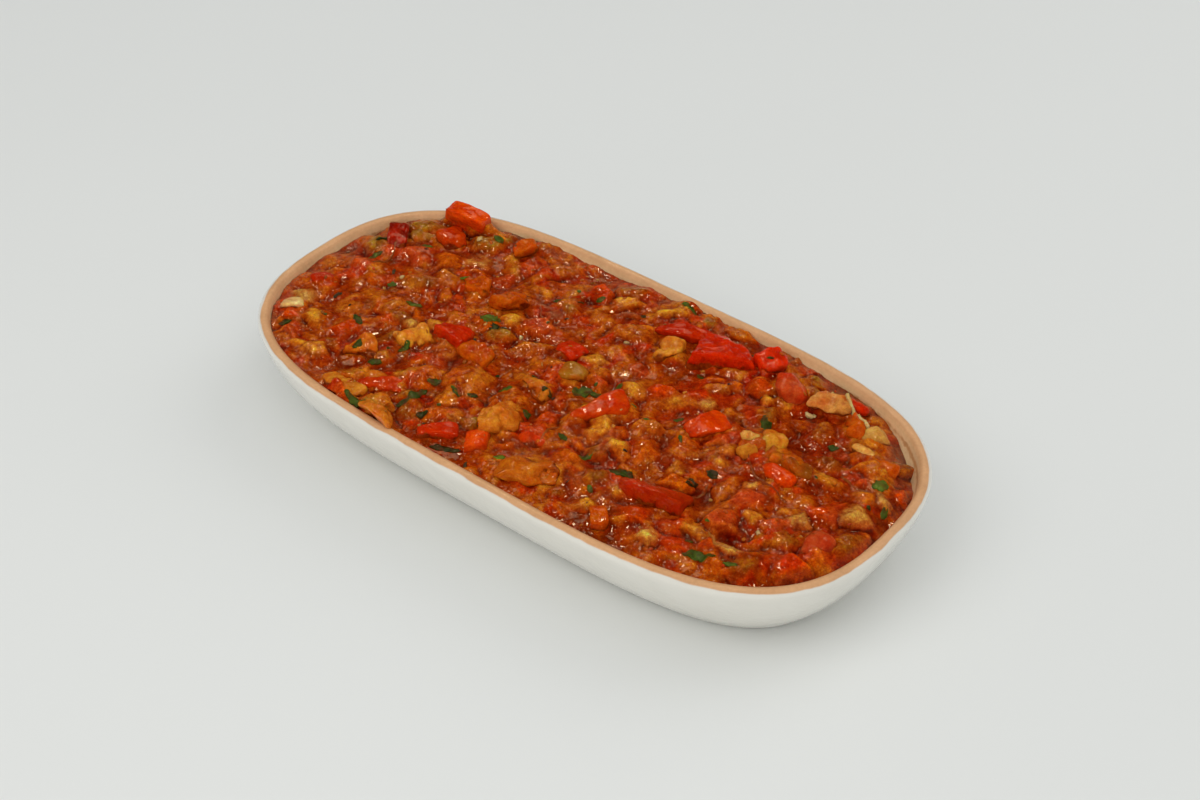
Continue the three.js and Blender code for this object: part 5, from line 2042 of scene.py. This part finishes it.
@dataclass
class Studio:
    """Pale floor, soft light and the camera at the photo's angle, with its angles in degrees."""

    target: tuple[float, float, float] = (12.12, -4.32, 30.0)
    azimuth: float = 38.86
    elevation: float = 39.07
    distance: float = 647.4
    lens_pixels: float = 2028.0
    picture_width: float = 1200.0
    sensor_width: float = 36.0
    view_end: float = 20.0
    floor_reach: float = 3000.0
    floor_patch_mm: float = 400.0
    floor_tones: Stops = ((0.3, (0.77, 0.78, 0.76)), (0.7, (0.785, 0.795, 0.775)))
    floor_roughness: float = 0.6
    daylight: Colour = (1.0, 0.99, 0.97)
    soft_lamps: tuple = (
        Lamp("softbox_top", 1.4, 1.8, (0.05, -0.10, 1.3)),
        Lamp("fill_front", 1.4, 4.0, (0.85, -0.90, 0.55)),
        Lamp("softbox_key", 1.2, 6.2, (-0.30, -1.00, 1.10)),
        Lamp("fill_back", 1.4, 5.0, (0.40, 1.05, 0.90)),
    )
    lamplight: Colour = (1.0, 0.78, 0.48)
    gloss_lamps: tuple = (
        Lamp("sheen_high", 0.30, 0.5, (-0.38, 0.48, 1.35)),
        Lamp("sheen_back", 0.42, 0.8, (-0.70, 0.95, 1.05)),
        Lamp("sheen_left", 0.34, 0.8, (-1.10, 0.10, 1.05)),
        Lamp("lamp_back", 0.11, 1.4, (-0.28, 0.36, 1.5)),
        Lamp("lamp_left", 0.11, 1.2, (-0.9, -0.1, 1.1)),
        Lamp("lamp_right", 0.11, 1.2, (0.35, 0.8, 1.2)),
        Lamp("lamp_front", 0.11, 0.8, (0.1, -0.5, 1.4)),
        Lamp("lamp_far", 0.11, 1.0, (-0.75, 0.55, 1.2)),
        Lamp("lamp_near", 0.11, 0.8, (0.7, -0.1, 1.3)),
        Lamp("lamp_low", 0.11, 1.0, (-0.4, -0.75, 1.1)),
    )
    fill_colour: Colour = (0.96, 0.985, 1.0)
    fill_strength: float = 0.49

    def build(self) -> None:
        """Make floor, light and camera."""
        self._floor()
        for lamp in self.soft_lamps:
            self._light(lamp, self.daylight, False)
        for lamp in self.gloss_lamps:
            self._light(lamp, self.lamplight, True)
        self._fill()
        self._camera()

    def _floor(self) -> None:
        """A wide pale floor under the dish."""
        bm = bmesh.new()
        bmesh.ops.create_grid(bm, x_segments=2, y_segments=2, size=self.floor_reach)
        bench = ShaderBench("studio_floor")
        colour = bench.ramp(bench.noise(self.floor_patch_mm), self.floor_tones)
        floor = finish_mesh(bm, "studio_floor",
                            bench.finish(colour, self.floor_roughness, {"Specular IOR Level": 0.1}))

    @staticmethod
    def _light(lamp: Lamp, colour: Colour, in_gloss: bool) -> None:
        """Hang one lamp.

        Args:
            lamp: its name, size, power and place.
            colour: the colour of its light.
            in_gloss: True for a lamp that only shows in wet gloss, False for one that only lights.
        """
        light = bpy.data.lights.new(lamp.name, "AREA")
        light.shape = "DISK"
        light.size = lamp.size
        light.energy = lamp.watts
        light.color = colour
        obj = bpy.data.objects.new(lamp.name, light)
        obj.location = lamp.place
        obj.rotation_euler = Vector(lamp.place).to_track_quat("Z", "Y").to_euler()
        obj.visible_glossy = in_gloss
        obj.visible_diffuse = not in_gloss
        bpy.context.collection.objects.link(obj)

    def _fill(self) -> None:
        """Even light from all around, which doesn't show in the gloss."""
        world = bpy.data.worlds.new("studio_fill")
        world.use_nodes = True
        background = world.node_tree.nodes["Background"]
        background.inputs[0].default_value = (*self.fill_colour, 1.0)
        background.inputs[1].default_value = self.fill_strength
        world.cycles_visibility.glossy = False
        bpy.context.scene.world = world
        bpy.context.scene.view_settings.view_transform = "Standard"

    def _camera(self) -> None:
        """The camera that was fitted to the rim in the photo."""
        azimuth, elevation = math.radians(self.azimuth), math.radians(self.elevation)
        back = Vector((math.sin(azimuth) * math.cos(elevation), -math.cos(azimuth) * math.cos(elevation),
                       math.sin(elevation)))
        camera = bpy.data.cameras.new("photo_camera")
        camera.sensor_width = self.sensor_width
        camera.lens = self.sensor_width * self.lens_pixels / self.picture_width
        camera.clip_end = self.view_end
        obj = bpy.data.objects.new("photo_camera", camera)
        obj.location = (Vector(self.target) + back * self.distance) * MM
        obj.rotation_euler = back.to_track_quat("Z", "Y").to_euler()
        bpy.context.collection.objects.link(obj)
        bpy.context.scene.camera = obj


# Everything in order


FINISHES = {
    PEPPER: VegetableFinish(
        "roast_pepper", mottle_mm=3.6, mottle_dark=(0.72, 0.42, 0.4), mottle_light=(1.08, 1.5, 1.0),
        grain_mm=0.8, grain_depth_mm=0.22, pit_depth_mm=0.9, rough_high=0.12, translucency=0.3,
        film_reach=1.0),
    TOMATO: VegetableFinish(
        "soft_tomato", mottle_mm=3.4, mottle_dark=(0.72, 0.5, 0.5), mottle_light=(1.12, 1.6, 1.5),
        grain_mm=0.8, grain_depth_mm=0.2, pit_depth_mm=0.5, rough_high=0.12, translucency=0.4,
        film_reach=0.95),
    EGGPLANT: VegetableFinish(
        "roast_eggplant", mottle_mm=3.2, mottle_dark=(0.70, 0.45, 0.35), mottle_light=(1.12, 1.35, 1.3),
        grain_mm=0.9, grain_depth_mm=0.25, pit_depth_mm=0.5, rough_high=0.15, translucency=0.5,
        film_reach=1.1),
    ONION: VegetableFinish(
        "soft_onion", mottle_mm=4.0, mottle_dark=(0.78, 0.66, 0.6), mottle_light=(1.12, 1.25, 1.3),
        grain_mm=1.0, grain_depth_mm=0.12, pit_depth_mm=0.3, rough_high=0.14, translucency=0.5,
        film_reach=0.95),
}
# How finely the large, small and extra pieces are divided, and the seeds of the four kinds.
DIVISIONS = (17, 11, 12)
KIND_SEEDS = {PEPPER: 100, TOMATO: 1100, EGGPLANT: 2100, ONION: 3100}


def dress(piece: bpy.types.Object, nodes: Sequence[str] = ()) -> None:
    """Tie a piece to the body and the solids that it stands for.

    Args:
        piece: the finished piece.
        nodes: the solids that it replaces, if any.
    """
    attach(piece, "root")
    if nodes:
        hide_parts(*nodes)


def build_food() -> None:
    """Build the pulp, the pieces and all that lies on them."""
    heap = Heap()
    pulp = PulpSkin(heap).build()
    dress(pulp, ["vegetable_mash"])
    shaper = PieceShaper(heap)
    tops = [pulp]
    for kind in Kind:
        cuts = [(cut, fineness) for group, fineness in zip((heap.large, heap.small, heap.extra), DIVISIONS)
                for cut in group if cut.kind is kind and not cut.soft]
        piece = shaper.joined(f"{kind.label}_pieces", cuts, FINISHES[kind], KIND_SEEDS[kind])
        dress(piece, [cut.node for cut in heap.large if cut.kind is kind])
        tops.append(piece)
    surface = Surface(tops)
    crumbs = Crumbs(surface)
    dress(crumbs.build_pulp())
    dress(SkinCurls(surface).build(FINISHES[ONION]))
    dress(Leaves(surface).build())
    dress(crumbs.build_seeds())
    dress(crumbs.build_charred())


def main() -> None:
    """Build the dish, the food and the studio in order."""
    logging.basicConfig(level=logging.INFO, format="%(message)s")
    dish = Dish().build()
    dress(dish, ["dish"])
    build_food()
    Studio().build()


if __name__ == "__main__":
    main()
